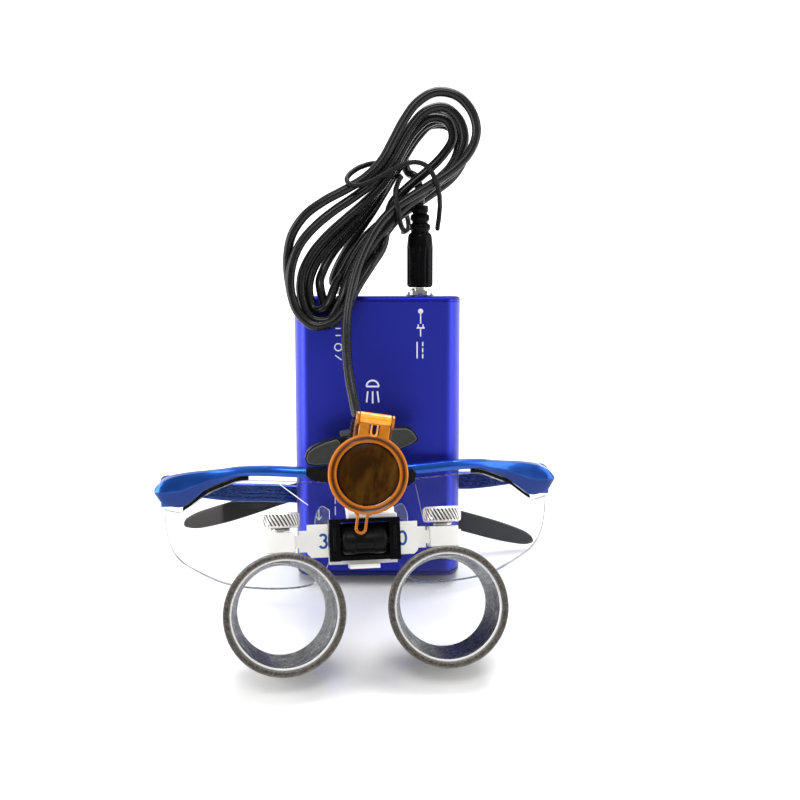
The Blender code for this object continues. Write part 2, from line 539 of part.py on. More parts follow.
def build_temples(specs):
    for side, tag in ((-1, "left"), (1, "right")):
        rows, split = TEMPLES[tag]
        arm = place("temple_" + tag, loft(arm_sections(rows, 0, split)), specs, "frame_blue")
        root = place("root_" + tag, rod(2.3, -2.5, 2.5, sides=20), HINGES[tag])
        join(arm, root)
        cut(arm, place("root_bore_" + tag, rod(1.15, -5, 5, sides=16), HINGES[tag]))
        tip = arm_sections(rows, split, len(rows) - 1)
        a, b = Vector(rows[split][:3]), Vector(rows[split + 1][:3])
        nudge = (b - a).normalized() * 0.25
        tip[0] = [p + nudge for p in tip[0]]
        place("temple_tip_" + tag, loft(tip), specs, "rubber_black")


# ---------------------------------------------------------------- flip-up magnifiers
def build_bracket(specs, flip):
    side_view = [(-35.5, -3.35), (-28.4, -5.75), (-24, -4.6), (-3.4, -4.2), (-3.4, -9.2), (-0.9, -9.2),
                 (-0.9, -1.7), (-24.5, -2.2), (-27.8, -3.95), (-34.9, -2.0)]
    bracket = place("bridge_bracket", prism(side_view, -8.2, 8.2, "x"), specs, "plastic_white")
    for k, x in ((1, -5), (2, 5)):
        cut(bracket, place("bracket_hole_%d" % k, rod(0.95, -6, 2, "y", (x, 0, -6.4), 12), specs))
        screw = lathe([(0, -4.6), (1.6, -4.6), (1.6, -3.5), (0.75, -3.5), (0.75, 1.8), (0, 1.8)],
                      "y", (x, 0, -6.4), 12)
        place("bracket_screw_%d" % k, screw, specs, "screw_steel")
    bore = place("yoke_bore", rod(1.05, 4, 12, at=(0, 9.0, 0), sides=12), flip)
    cut(bracket, bore)
    screw = lathe([(0, 10.3), (2.0, 10.3), (2.0, 9.15), (0.85, 9.15), (0.85, 5.8), (0, 5.8)],
                  at=(0, 9.0, 0), sides=12)
    place("yoke_screw", screw, flip, "screw_steel")
    return bore


def build_yoke(flip, screw_bore):
    side_view = [(-4, -6.6), (-2, -6.0), (0, -5.05), (2.5, -4.4), (4.25, -2.65), (4.75, 0), (4.75, 5.7),
                 (4.75, 6.75), (-4, 6.75)]
    yoke = place("flip_yoke", prism(side_view, -11.5, -8.0, "x"), flip, "plastic_black")
    join(yoke, place("yoke_right", prism(side_view, 8.0, 11.5, "x"), flip),
         place("yoke_roof", block(-11.35, 11.35, -3.8, 12.5, 5.65, 6.9), flip),
         place("yoke_sill", prism([(-3.9, -6.45), (-2.5, -6.05), (-2.5, -5.1), (-3.9, -5.1)], -9, 9, "x"), flip))
    cut(yoke, place("yoke_pin_bore", rod(1.45, -13, 13, "x", sides=20), flip), screw_bore)
    place("flip_pin", rod(1.3, -11.3, 11.3, "x", sides=20), flip, "screw_steel")


def build_carriage(flip):
    drum = place("flip_drum", rod(4.6, -7.4, 7.4, "x"), flip, "plastic_black")
    join(drum, place("drum_stem", block(-7.0, 7.0, 2.5, 5.1, -2.4, 2.4), flip))
    cut(drum, place("drum_bore", rod(1.5, -9, 9, "x", sides=20), flip))
    half = [(18.3, 5.4), (18.3, 3.5), (21.0, 3.5), (21.0, 2.1), (33.0, 2.1), (33.0, -2.1), (21.0, -2.1),
            (21.0, -3.5), (18.3, -3.5), (18.3, -4.1), (17.0, -5.4)]
    outline = half + [(-x, z) for x, z in half[::-1]]
    bar = place("crossbar", prism(outline, BAR_Y0, BAR_Y1, "y"), flip, "plastic_white")
    join(bar, place("bar_lip", block(-11.3, 11.3, BAR_Y0 + 0.2, BAR_Y1 - 0.2, -7.9, -5.0), flip),
         place("bar_tab", block(-4.9, 4.9, -1.2, BAR_Y1 - 0.3, -9.2, -8.0 + 0.25), flip))
    for side, tag in ((-1, "left"), (1, "right")):
        x = side * PD_HALF
        slider = place("pd_slider_" + tag, block(x - 4.85, x + 4.85, 3.3, 10.7, -3.4, 3.4),
                       flip, "plastic_white")
        cut(slider, place("rail_slot_" + tag, block(x - 6, x + 6, 5.0, 9.0, -2.3, 2.3), flip),
            place("screw_hole_" + tag, rod(1.35, 1, 5, at=(x, 7, 0), sides=16), flip))
        knob = [(0, 2.45), (1.15, 2.45), (1.15, 3.6), (3.1, 3.6), (3.1, 4.7), (5.7, 4.7), (6.25, 5.2),
                (6.25, 9.2), (5.6, 9.9), (0, 9.9)]
        place("thumb_screw_" + tag, lathe(knob, at=(x, 7, 0), sides=20), flip, "nickel")


def build_barrels(flip):
    body = [(19.2, -8.1), (19.2, -4.5), (EYE_R, 13.0), (15.1, 13.0), (15.1, 9.8), (14.6, 9.8),
            (14.6, 8.6), (16.9, -5.0), (17.9, -5.0), (17.9, -8.1)]
    bezel = [(16.7, -8.35), (16.7, -9.4), (17.6, -10.4), (19.0, -10.4), (BARREL_R, -10.0),
             (BARREL_R, -8.35)]
    front = [(0, -9.4), (8, -9.05), (13, -8.6), (16.2, -8.15), (17.6, -7.8), (17.6, -5.3), (0, -5.3)]
    rear = [(0, 10.6), (8, 10.3), (14.9, 10.0), (14.9, 12.4), (0, 12.4)]
    for side, tag in ((-1, "left"), (1, "right")):
        axis = frame("axis_" + tag, (side * BARREL_X, BARREL_Y, BARREL_Z), (0, 0, -side * TOE_IN), flip)
        barrel = place("barrel_" + tag, lathe(body, "y", sides=36), axis, "barrel_grey")
        x = side * PD_HALF
        join(barrel, place("post_" + tag, block(x - 3, x + 3, 4.6, 9.4, -6.6, -3.6), flip))
        place("bezel_" + tag, lathe(bezel, "y", sides=36), axis, "barrel_grey")
        place("front_lens_" + tag, lathe(front, "y", sides=28), axis, "clear")
        place("rear_lens_" + tag, lathe(rear, "y", sides=24), axis, "clear")


# ---------------------------------------------------------------- headlight
def build_lamp(specs, lamp):
    shell = lathe([(0, 17.0), (8.6, 17.0), (LAMP_R, 15.4), (LAMP_R, 2.6), (9.2, 2.6), (9.2, 14.9),
                   (0, 14.9)], "y", sides=28)
    housing = place("lamp_housing", shell, lamp, "alloy")
    ear = [(2.6, 8.4), (7.0, 8.4), (7.0, 19.0), (5.6, 20.3), (-1.2, 20.3), (-2.4, 19.2), (-2.4, 15.6),
           (2.6, 14.6)]
    join(housing, place("lamp_ear_left", prism(ear, -7.6, -6.1, "x"), lamp),
         place("lamp_ear_right", prism(ear, 6.1, 7.6, "x"), lamp),
         place("lamp_crown", block(-7.45, 7.45, 4.4, 6.8, 9.6, 11.6), lamp),
         place("tilt_knuckle", rod(1.9, -2.4, 2.4, "x", (0, TILT_Y, TILT_Z), 20), lamp),
         place("tilt_web", block(-2.3, 2.3, 16.2, TILT_Y, TILT_Z - 1.6, TILT_Z + 1.6), lamp))
    cut(housing, place("tilt_bore", rod(1.05, -4, 4, "x", (0, TILT_Y, TILT_Z), 16), lamp),
        place("filter_bore", rod(1.0, -9, 9, "x", (0, 0, FILTER_PIN_Z), 16), lamp))
    place("lamp_lens", lathe([(0, 3.0), (5, 3.2), (9.0, 4.0), (9.0, 5.4), (0, 5.4)], "y", sides=24),
          lamp, "clear")
    place("led_module", lathe([(0, 11.4), (2.2, 11.4), (2.2, 12.9), (9.0, 12.9), (9.0, 14.5), (0, 14.5)],
                              "y", sides=24), lamp, "led_yellow")
    place("filter_pin", rod(0.85, -7.5, 7.5, "x", (0, 0, FILTER_PIN_Z), 16), lamp, "screw_steel")
    ring = [(FILTER_HOLE - 0.9, -1.5), (FILTER_R, -1.5), (FILTER_R, 1.6), (FILTER_HOLE, 1.6),
            (FILTER_HOLE, 0.0), (FILTER_HOLE - 0.9, 0.0)]
    holder = place("filter_frame", lathe(ring, "y", sides=36), lamp, "orange")
    join(holder, place("filter_arm_left", block(-5.4, -2.6, -1.1, 1.1, 11.8, 16.5), lamp),
         place("filter_arm_right", block(1.6, 5.4, -1.1, 1.1, 11.8, 16.5), lamp),
         place("filter_knuckle", rod(2.35, -5.7, 5.7, "x", (0, 0, FILTER_PIN_Z), 20), lamp),
         place("filter_tab", block(-2.1, 2.1, -1.3, 0.9, -19.2, -12.6), lamp))
    cut(holder, place("knuckle_bore", rod(1.0, -7, 7, "x", (0, 0, FILTER_PIN_Z), 16), lamp))
    place("filter_disc", rod(FILTER_HOLE - 0.15, 0.15, 1.5, "y", sides=28), lamp, "amber")
    relief_low, relief_top = Vector((-5.5, 13.9, 9.75)), Vector((-5.2, 14.5, 17.6))
    place("cable_relief", sweep([relief_low, (relief_low + relief_top) / 2, relief_top], 1.9, 12),
          lamp, "rubber_black")


def build_clip(specs, clip, lamp):
    outline = [(-19.6, 2.9), (-18.2, 0.9), (-8.6, 0.9), (-8.4, -0.5), (-19.9, -1.2), (-20.6, -2.6),
               (-18.4, -6.9)]
    teeth = [(-18.4 + k * 1.0, -6.9 - (0.7 if k % 2 else 0.0)) for k in range(1, 8)]
    centre = [(-10.6, -6.9), (-10.2, -7.6), (10.2, -7.6), (10.6, -6.9)]
    right = [(18.8, -6.6), (20.2, -2.6), (19.6, -1.2), (8.4, -0.5), (8.6, 0.9), (18.6, 0.9), (20.2, 2.9),
             (20.2, 7.6), (18.6, 9.4), (8.8, 9.4), (6.6, 8.0), (-6.6, 8.0), (-8.8, 9.8), (-17.8, 9.8),
             (-19.6, 8.2)]
    plate = place("clip_front_jaw", prism(outline + teeth + centre + right, -3.4, -0.4, "y"),
                  clip, "plastic_black")
    for tag, x0, x1 in (("left", -8.4, -6.2), ("right", 6.2, 8.4)):
        ear = [(-0.6, -1.4), (4.0, -0.9), (5.2, 1.0), (4.0, 3.0), (-0.6, 3.4)]
        join(plate, place("clip_ear_" + tag, prism(ear, x0, x1, "x"), clip))
    cut(plate, place("clip_bore", rod(1.05, -10, 10, "x", (0, 2.8, 1.0), 16), clip))
    arms = []
    for tag, x0, x1 in (("left", -4.5, -2.8), ("right", 2.8, 4.5)):
        arm = [(TILT_Y - 2.0, TILT_Z - 0.6), (TILT_Y - 1.3, TILT_Z - 2.0), (TILT_Y + 1.5, TILT_Z - 2.2),
               (39.9, TILT_Z + 1.2), (39.0, TILT_Z + 6.0), (TILT_Y + 1.2, TILT_Z + 2.3),
               (TILT_Y - 1.3, TILT_Z + 1.8), (TILT_Y - 2.0, TILT_Z + 0.6)]
        arms.append(place("tilt_arm_" + tag, prism(arm, x0, x1, "x"), lamp))
    join(plate, *arms)
    cut(plate, place("tilt_arm_bore", rod(1.05, -6, 6, "x", (0, TILT_Y, TILT_Z), 16), lamp))
    place("tilt_pin", rod(0.9, -4.4, 4.4, "x", (0, TILT_Y, TILT_Z), 16), lamp, "screw_steel")
    place("clip_pin", rod(0.9, -8.3, 8.3, "x", (0, 2.8, 1.0), 16), clip, "screw_steel")
    jaw = [(6.0, -9.4), (7.4, -9.4), (7.6, -4.0), (5.4, -0.6), (5.2, 2.6), (6.6, 8.2), (5.4, 8.8),
           (2.0, 3.4), (0.9, 1.6), (1.1, 0.0), (4.6, -2.6)]
    rear = place("clip_rear_jaw", prism(jaw, -5.9, 5.9, "x"), clip, "plastic_black")
    cut(rear, place("jaw_bore", rod(1.05, -8, 8, "x", (0, 2.8, 1.0), 16), clip),
        place("spring_gap", block(-2.6, 2.6, -1, 6.2, -1.4, 3.8), clip))
    coil = []
    turns, per = 4, 8
    for k in range(turns * per + 1):
        ang = 2 * math.pi * k / per
        coil.append(Vector((-2.0 + 4.0 * k / (turns * per), 2.8 + 1.55 * math.cos(ang),
                            1.0 + 1.55 * math.sin(ang))))
    place("clip_spring", sweep(coil, 0.3, 5), clip, "screw_steel")


def build_cable(world):
    place("cable", sweep(curve_through(CABLE_ROUTE, 2), CABLE_R, CABLE_SIDES), world, "rubber_black", True)
    place("cable_tie", sweep([Vector(p) for p in TIE_ROUTE], TIE_R, 6), world, "plastic_black", True)


clear_scene()
PARTS = collection("dental_loupes")
CUTTERS = collection("cutters")
CUTTERS.hide_render = True
WORLD = frame("assembly", (SHIFT[0], SHIFT[1], 0.0), (0, 0, 0))
PACK = frame("pack_frame", (0, 0, PACK_D * math.sin(math.radians(PACK_LEAN))), (-PACK_LEAN, 0, 0), WORLD)
SPECS = frame("specs_frame", SPECS_AT, SPECS_TURN, WORLD)
FLIP = frame("flip_frame", FLIP_AT, FLIP_TURN, SPECS)
LAMP = frame("lamp_frame", LAMP_AT, LAMP_TURN, SPECS)
CLIP = frame("clip_frame", CLIP_AT, CLIP_TURN, SPECS)
HINGES = {tag: frame("hinge_" + tag, (side * HINGE_X, HINGE_Y, HINGE_Z), (HINGE_TILT, 0, 0), SPECS)
          for side, tag in ((-1, "left"), (1, "right"))}
build_pack(PACK)
build_plug(PACK)
build_brow(SPECS)
build_lens(SPECS)
build_temples(SPECS)
build_yoke(FLIP, build_bracket(SPECS, FLIP))
build_carriage(FLIP)
build_barrels(FLIP)
build_lamp(SPECS, LAMP)
build_clip(SPECS, CLIP, LAMP)
build_cable(WORLD)
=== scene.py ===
"""Looks for the dental loupes: every visible piece in detail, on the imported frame's bodies.

Tables are in millimetres in the same local frames as the CAD. Each piece's mesh is in metres in
its own frame, so its procedural materials follow the piece.
"""

import json
import math

import bmesh
import bpy
from mathutils import Euler, Matrix, Vector


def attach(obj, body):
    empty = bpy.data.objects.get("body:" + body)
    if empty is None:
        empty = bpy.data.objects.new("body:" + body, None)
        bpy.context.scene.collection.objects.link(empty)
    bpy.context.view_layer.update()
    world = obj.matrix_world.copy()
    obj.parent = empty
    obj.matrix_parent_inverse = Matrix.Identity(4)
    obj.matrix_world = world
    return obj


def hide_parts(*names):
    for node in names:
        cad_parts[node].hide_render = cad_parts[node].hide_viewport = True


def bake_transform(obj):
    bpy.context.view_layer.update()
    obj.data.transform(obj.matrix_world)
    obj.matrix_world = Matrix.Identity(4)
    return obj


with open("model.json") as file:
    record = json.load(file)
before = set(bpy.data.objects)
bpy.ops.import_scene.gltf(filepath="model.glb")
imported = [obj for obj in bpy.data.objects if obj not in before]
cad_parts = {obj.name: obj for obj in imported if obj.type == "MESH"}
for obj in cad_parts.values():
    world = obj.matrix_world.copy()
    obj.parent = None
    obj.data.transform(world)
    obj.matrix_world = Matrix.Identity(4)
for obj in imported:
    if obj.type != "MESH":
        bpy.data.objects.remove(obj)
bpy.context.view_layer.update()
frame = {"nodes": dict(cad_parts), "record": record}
BODY = {node: body for body, nodes in frame["record"]["behaviour"]["bodies"].items() for node in nodes}
MM = 0.001

# ---------------------------------------------------------------- frames


def local(at, turn, parent=Matrix.Identity(4)):
    spin = Euler([math.radians(v) for v in turn]).to_matrix().to_4x4()
    return parent @ Matrix.Translation(Vector(at) * MM) @ spin


PACK_LEAN = 11.0
PACK_W, PACK_D, PACK_H, MID_Y = 63.4, 24.0, 107.0, 12.0
WORLD = local((7.18, 7.69, 0.0), (0, 0, 0))
PACK = local((0, 0, PACK_D * math.sin(math.radians(PACK_LEAN))), (-PACK_LEAN, 0, 0), WORLD)
SPECS = local((-4.8, -6.7, 48.1), (-6.0, 0.8, 7.0), WORLD)
FLIP = local((-3.4, -42.5, -8.3), (-19.0, 0, 0), SPECS)
LAMP = local((-2.0, -42.8, 13.8), (-16.0, 9.0, -3.0), SPECS)
CLIP = local((-1.0, -0.6, 9.0), (0, -8.5, 0), SPECS)
SIDES = ((-1, "left"), (1, "right"))
HINGE = {tag: local((side * 72.5, 24.0, -8.6), (4.0, 0, 0), SPECS) for side, tag in SIDES}
AXIS = {tag: local((side * 26.65, 5.0, -22.3), (0, 0, -side * 3.4), FLIP) for side, tag in SIDES}

# ---------------------------------------------------------------- materials


M = {}


class Nodes:
    """A node tree under construction."""

    def __init__(self, tree):
        self.tree = tree

    def give(self, socket, value):
        """Link an output to a socket, or set the socket's own value."""
        if hasattr(value, "is_linked"):
            self.tree.links.new(value, socket)
        elif socket.type == "RGBA":
            socket.default_value = (*value, 1.0)
        else:
            socket.default_value = value

    def node(self, kind, *feeds, **values):
        """A new node: feeds fill its first inputs, values its named inputs or, if lower-case, settings."""
        made = self.tree.nodes.new("ShaderNode" + kind)
        for key, value in values.items():
            if key.islower():
                setattr(made, key, value)
            else:
                self.give(made.inputs[key.replace("_", " ")], value)
        for socket, value in zip(made.inputs, feeds):
            self.give(socket, value)
        return made

    def remap(self, value, low, high, to_low, to_high):
        return self.node("MapRange", value, low, high, to_low, to_high).outputs[0]


class Shader(Nodes):
    """A material, with texture coordinates in the piece's own frame."""

    def __init__(self, name):
        M[name] = bpy.data.materials.new(name)
        M[name].use_nodes = True
        super().__init__(M[name].node_tree)
        self.coord = self.node("TexCoord").outputs["Object"]

    def axis(self, k):
        return self.node("SeparateXYZ", self.coord).outputs[k]

    def noise(self, scale, detail=4.0, rough=0.55, stretch=None):
        coord = self.node("Mapping", self.coord, Scale=stretch).outputs[0] if stretch else self.coord
        return self.node("TexNoise", coord, Scale=scale, Detail=detail, Roughness=rough).outputs["Fac"]

    def edges(self, low, high, most):
        """Rises from flat places to sharp edges."""
        return self.remap(self.node("NewGeometry").outputs["Pointiness"], low, high, 0.0, most)

    def mix(self, fac, a, b):
        mixed = self.node("Mix", fac, data_type="RGBA")
        self.give(mixed.inputs[6], a)
        self.give(mixed.inputs[7], b)
        return mixed.outputs[2]

    def bump(self, height, strength, depth_mm, before=None):
        made = self.node("Bump", Strength=strength, Distance=depth_mm * MM, Height=height)
        if before:
            self.give(made.inputs["Normal"], before)
        return made.outputs[0]

    def set(self, **values):
        for key, value in values.items():
            self.give(self.tree.nodes["Principled BSDF"].inputs[key.replace("_", " ")], value)


def surface(name, colour, rough, metal=0.0, other=None, vary=0.5, cell=900.0, bump=0.12, bump_cell=2600.0,
            depth=0.05, edge_tone=None, rough_vary=0.08, **more):
    """Colour mottled between two tones, rougher and smoother patches, fine relief, and paler edges where an
    edge tone is given.
    """
    s = Shader(name)
    patches = s.noise(cell, 5.0, 0.6)
    tone = s.mix(s.remap(patches, 0.35, 0.65, 0.0, vary), colour, other or tuple(c * 0.75 for c in colour))
    tone = s.mix(s.remap(s.noise(45.0, 2.0), 0.3, 0.7, 0.0, 0.25), tone, tuple(c * 0.85 for c in colour))
    if edge_tone:
        tone = s.mix(s.edges(0.53, 0.62, 0.7), tone, edge_tone)
    s.set(Base_Color=tone, Metallic=metal, Normal=s.bump(s.noise(bump_cell, 3.0, 0.6), bump, depth),
        Roughness=s.remap(patches, 0.3, 0.7, max(rough - rough_vary, 0.02), rough + rough_vary), **more)


def clear(name, tint, haze, sheen, haze_colour=(0.8, 0.85, 0.9)):
    """Thin clear plastic: straight-through light, a fresnel reflection and a little haze."""
    s = Shader(name)
    shine = s.node("Math", s.node("Fresnel", IOR=1.4).outputs[0], sheen, operation="MULTIPLY")
    first = s.node("MixShader", shine.outputs[0], s.node("BsdfTransparent", tint).outputs[0],
        s.node("BsdfGlossy", (1, 1, 1), 0.04).outputs[0])
    second = s.node("MixShader", s.remap(s.noise(700.0), 0.3, 0.7, haze * 0.4, haze * 1.6), first.outputs[0],
        s.node("BsdfDiffuse", haze_colour).outputs[0])
    s.give(s.tree.nodes["Material Output"].inputs["Surface"], second.outputs[0])


def speckled_metal(name, dark, light, rough, cell, contrast, metal, edge_tone, rings):
    """Blasted and half-worn anodising: two sizes of speckle, and lathe lines where asked."""
    s = Shader(name)
    fine, coarse = s.noise(cell, 6.0, 0.75), s.noise(cell * 0.22, 3.0, 0.6)
    tone = s.mix(s.remap(fine, 0.5 - contrast, 0.5 + contrast, 0.0, 1.0), dark, light)
    tone = s.mix(s.remap(coarse, 0.35, 0.7, 0.0, 0.45), tone, tuple(c * 0.6 for c in dark))
    tone = s.mix(s.edges(0.52, 0.58, 0.8), tone, edge_tone)
    normal = s.bump(fine, 0.25, 0.06)
    if rings:
        lines = s.node("TexWave", s.coord, bands_direction="Y", Scale=260.0, Distortion=1.2, Detail=2.0)
        normal = s.bump(lines.outputs["Fac"], 0.15, 0.03, normal)
    s.set(Base_Color=tone, Metallic=metal, Normal=normal,
        Roughness=s.remap(coarse, 0.3, 0.7, rough - 0.1, rough + 0.12))


def orange_plastic():
    """Translucent orange: light soaks in; a mottled dark brown-orange body, with a painted yellow glow along
    the edges.
    """
    s = Shader("orange")
    patches = s.remap(s.noise(260.0), 0.35, 0.65, 0.0, 0.7)
    tone = s.mix(patches, (0.085, 0.018, 0.0006), (0.035, 0.007, 0.0003))
    # Painted glow: the edges are painted bright yellow-orange.
    tone = s.mix(s.edges(0.50, 0.60, 1.0), tone, (0.80, 0.25, 0.015))
    s.set(Base_Color=tone, Roughness=0.16, Subsurface_Weight=0.35, Subsurface_Scale=1.0,
        Subsurface_Radius=(2.0 * MM, 0.7 * MM, 0.1 * MM), Coat_Weight=0.08, Coat_Roughness=0.05,
        Specular_IOR_Level=0.2, Normal=s.bump(s.noise(900.0), 0.08, 0.05))


def amber_disc(radius):
    """Dark amber window, with the lamp's rings and a bright ring near its rim painted into its colour as
    painted light, and paler streaks.
    """
    s = Shader("amber")
    flat = s.node("CombineXYZ", s.axis(0), s.axis(2)).outputs[0]
    reach = s.node("VectorMath", flat, operation="LENGTH").outputs["Value"]
    # Painted light: the lamp's rings as if seen through the window, and a painted highlight ring just inside
    # the rim.
    rings = s.node("ValToRGB", s.remap(reach, 0.0, radius * MM, 0.0, 1.0))
    stops = ((0.0, 0.50), (0.28, 0.34), (0.50, 0.44), (0.66, 0.62), (0.70, 0.50), (0.86, 0.80), (0.93, 0.55),
        (0.965, 0.06), (1.0, 0.04))
    for place, value in stops[1:-1]:
        rings.color_ramp.elements.new(place)
    for stop, (place, value) in zip(rings.color_ramp.elements, stops):
        stop.position = place
        stop.color = (value, value, value, 1)
    paler_streaks = s.noise(190.0, 3.0, 0.6, (1.0, 1.0, 0.35))
    tone = s.mix(rings.outputs[0], (0.004, 0.0013, 0.0003), (0.052, 0.018, 0.0014))
    tone = s.mix(s.remap(paler_streaks, 0.48, 0.75, 0.0, 0.5), tone, (0.15, 0.068, 0.007))
    s.set(Base_Color=tone, Roughness=0.28, Specular_IOR_Level=0.06, Coat_Weight=0.03, Coat_Roughness=0.12,
        Normal=s.bump(s.noise(140.0, 2.0), 0.10, 0.2))


def frame_blue():
    """Metallic blue lacquer, with painted shade on the facets that face down, most of all toward the ends of
    the brow.
    """
    s = Shader("frame")
    facing = s.node("SeparateXYZ", s.node("NewGeometry").outputs["Normal"]).outputs[2]
    flakes = s.remap(s.noise(4200.0, 5.0), 0.35, 0.65, 0.0, 0.5)
    streaks = s.remap(s.noise(260.0, 3.0, 0.6, (0.25, 1.0, 1.0)), 0.45, 0.7, 0.0, 0.5)
    tone = s.mix(flakes, (0.006, 0.095, 0.50), (0.004, 0.060, 0.38))
    tone = s.mix(streaks, tone, (0.012, 0.15, 0.60))
    outward = s.node("Math", s.axis(0), operation="ABSOLUTE").outputs[0]
    # Painted shade: darker where the surface faces down, more so toward the ends of the brow.
    painted_underside_shade = s.node("Math", s.remap(facing, 0.05, 0.42, 0.95, 0.0), s.remap(outward, 0.036, 0.056, 0.3, 1.0),
        operation="MULTIPLY").outputs[0]
    tone = s.mix(painted_underside_shade, tone, (0.001, 0.018, 0.13))
    s.set(Base_Color=tone, Metallic=0.85, Roughness=0.22, Coat_Weight=0.35, Coat_Roughness=0.06,
        Normal=s.bump(s.noise(6000.0), 0.04, 0.01))


def smoked_tip():
    """Dark glossy ear tip with smoky patches and a paler end."""
    s = Shader("tip_smoked")
    patches = s.remap(s.noise(120.0, 3.0, 0.6, (1.0, 1.0, 2.5)), 0.50, 0.68, 0.0, 1.0)
    tone = s.mix(patches, (0.0015, 0.001, 0.001), (0.022, 0.020, 0.020))
    tone = s.mix(s.remap(s.axis(0), -0.0555, -0.0535, 1.0, 0.0), tone, (0.066, 0.058, 0.056))
    s.set(Base_Color=tone, Roughness=0.30, Specular_IOR_Level=0.10,
        Normal=s.bump(s.noise(2200.0), 0.12, 0.05))


def knurled_nickel():
    """Nickel with painted shade darkening the knurl's grooves, bright on the crests."""
    s = Shader("knurl")
    crest = s.mix(s.noise(1300.0), (0.92, 0.91, 0.88), (0.80, 0.79, 0.76))
    # Painted shade: the grooves, where pointiness is low, are coloured almost black.
    s.set(Base_Color=s.mix(s.edges(0.46, 0.53, 1.0), (0.05, 0.05, 0.048), crest), Metallic=0.5,
        Roughness=0.22, Normal=s.bump(s.noise(3600.0), 0.06, 0.02))


# name, colour, roughness, metal, second tone, its share, cell size, bump, bump cells, bump depth, edge tone
# The pack's brighter blue and navy edge tones are a painted highlight along its edges.
surface("blue", (0.009, 0.011, 0.33), 0.40, 1.0, (0.006, 0.008, 0.25), 0.7, 3200, 0.14, 5200, 0.03,
    (0.10, 0.13, 0.75))
surface("navy", (0.006, 0.008, 0.07), 0.42, 0.8, None, 0.5, 2000, 0.1, 5200, 0.03, (0.05, 0.06, 0.3))
surface("arm", (0.003, 0.040, 0.24), 0.26, 0.7, (0.002, 0.022, 0.13), 0.8, 700, 0.05, 5000, 0.02,
    Specular_IOR_Level=0.2, Coat_Weight=0.12, Coat_Roughness=0.08)
surface("steel", (0.52, 0.52, 0.53), 0.28, 1.0, (0.40, 0.40, 0.41), 0.5, 1500, 0.08, 4000, 0.02)
surface("nickel", (0.80, 0.79, 0.76), 0.16, 1.0, (0.66, 0.65, 0.62), 0.4, 1300, 0.06, 3600, 0.02)
# White plastic; its faint emission is a painted glow that brightens it.
surface("white", (0.91, 0.905, 0.875), 0.36, 0.0, (0.87, 0.865, 0.83), 0.4, 500, 0.06, 2600, 0.03,
    Emission_Color=(1.0, 0.99, 0.96), Emission_Strength=0.10)
surface("black", (0.0035, 0.0035, 0.004), 0.34, 0.0, (0.007, 0.007, 0.0075), 0.7, 1100, 0.14, 3200, 0.05,
    Specular_IOR_Level=0.08)
surface("gloss_black", (0.0025, 0.0025, 0.003), 0.24, 0.0, (0.005, 0.005, 0.0055), 0.6, 900, 0.05, 3000,
    0.02, Specular_IOR_Level=0.06)
surface("clip", (0.020, 0.021, 0.020), 0.42, 0.0, (0.034, 0.036, 0.034), 0.8, 500, 0.22, 2800, 0.06,
    (0.09, 0.095, 0.09), Specular_IOR_Level=0.16)
surface("clip_rim", (0.10, 0.104, 0.10), 0.35, 0.0, None, 0.5, 1400, 0.15, 2800, 0.05)
surface("cable", (0.004, 0.004, 0.0043), 0.26, 0.0, (0.008, 0.008, 0.0083), 0.6, 700, 0.08, 3000, 0.03,
    rough_vary=0.05, Specular_IOR_Level=0.26)
surface("tie", (0.003, 0.003, 0.003), 0.55, 0.0, None, 0.5, 1500, 0.3, 2600, 0.08, Specular_IOR_Level=0.2)
surface("tip", (0.040, 0.040, 0.043), 0.62, 0.0, (0.052, 0.052, 0.056), 0.6, 1600, 0.25, 3800, 0.05,
    Specular_IOR_Level=0.12)
speckled_metal("band", (0.020, 0.017, 0.014), (0.20, 0.18, 0.16), 0.40, 1700, 0.09, 0.85,
    (0.30, 0.28, 0.26), False)
# A bright metal ring; its emission is a painted highlight.
surface("bright_line", (0.95, 0.95, 0.94), 0.22, 0.65, (0.88, 0.88, 0.87), 0.4, 1300, 0.05, 3600, 0.02,
    Emission_Color=(1.0, 1.0, 1.0), Emission_Strength=0.22)
speckled_metal("wall", (0.010, 0.010, 0.010), (0.25, 0.246, 0.236), 0.30, 900, 0.10, 0.95,
    (0.42, 0.41, 0.39), True)
speckled_metal("skin", (0.26, 0.25, 0.235), (0.46, 0.445, 0.42), 0.34, 1700, 0.15, 0.95,
    (0.75, 0.72, 0.68), True)
surface("alloy", (0.62, 0.62, 0.63), 0.3, 1.0, (0.5, 0.5, 0.51), 0.5, 1600, 0.08, 4200, 0.02)
clear("lens", (0.99, 0.993, 0.995), 0.003, 0.12)
clear("optic", (0.99, 0.992, 0.998), 0.002, 0.10, (0.6, 0.6, 0.95))
clear("rim", (0.52, 0.56, 0.60), 0.34, 1.0, (0.45, 0.48, 0.52))
clear("silicone", (0.95, 0.965, 0.975), 0.035, 0.6, (0.8, 0.84, 0.88))
surface("print", (0.72, 0.73, 0.80), 0.5, 0.0, None, 0.3, 1500, 0.1, 3000, 0.01)
surface("digit", (0.006, 0.10, 0.40), 0.45, 0.0, None, 0.3, 1500, 0.1, 3000, 0.01)
surface("cell", (0.05, 0.25, 0.12), 0.35, 0.0, None, 0.4, 300, 0.05, 1500, 0.03)
surface("board", (0.01, 0.16, 0.07), 0.45, 0.0, (0.02, 0.22, 0.1), 0.6, 600, 0.2, 1500, 0.05)
surface("led", (0.85, 0.62, 0.08), 0.4, 0.0, None, 0.4, 900, 0.1, 2500, 0.03)
frame_blue()
orange_plastic()
amber_disc(10.25)
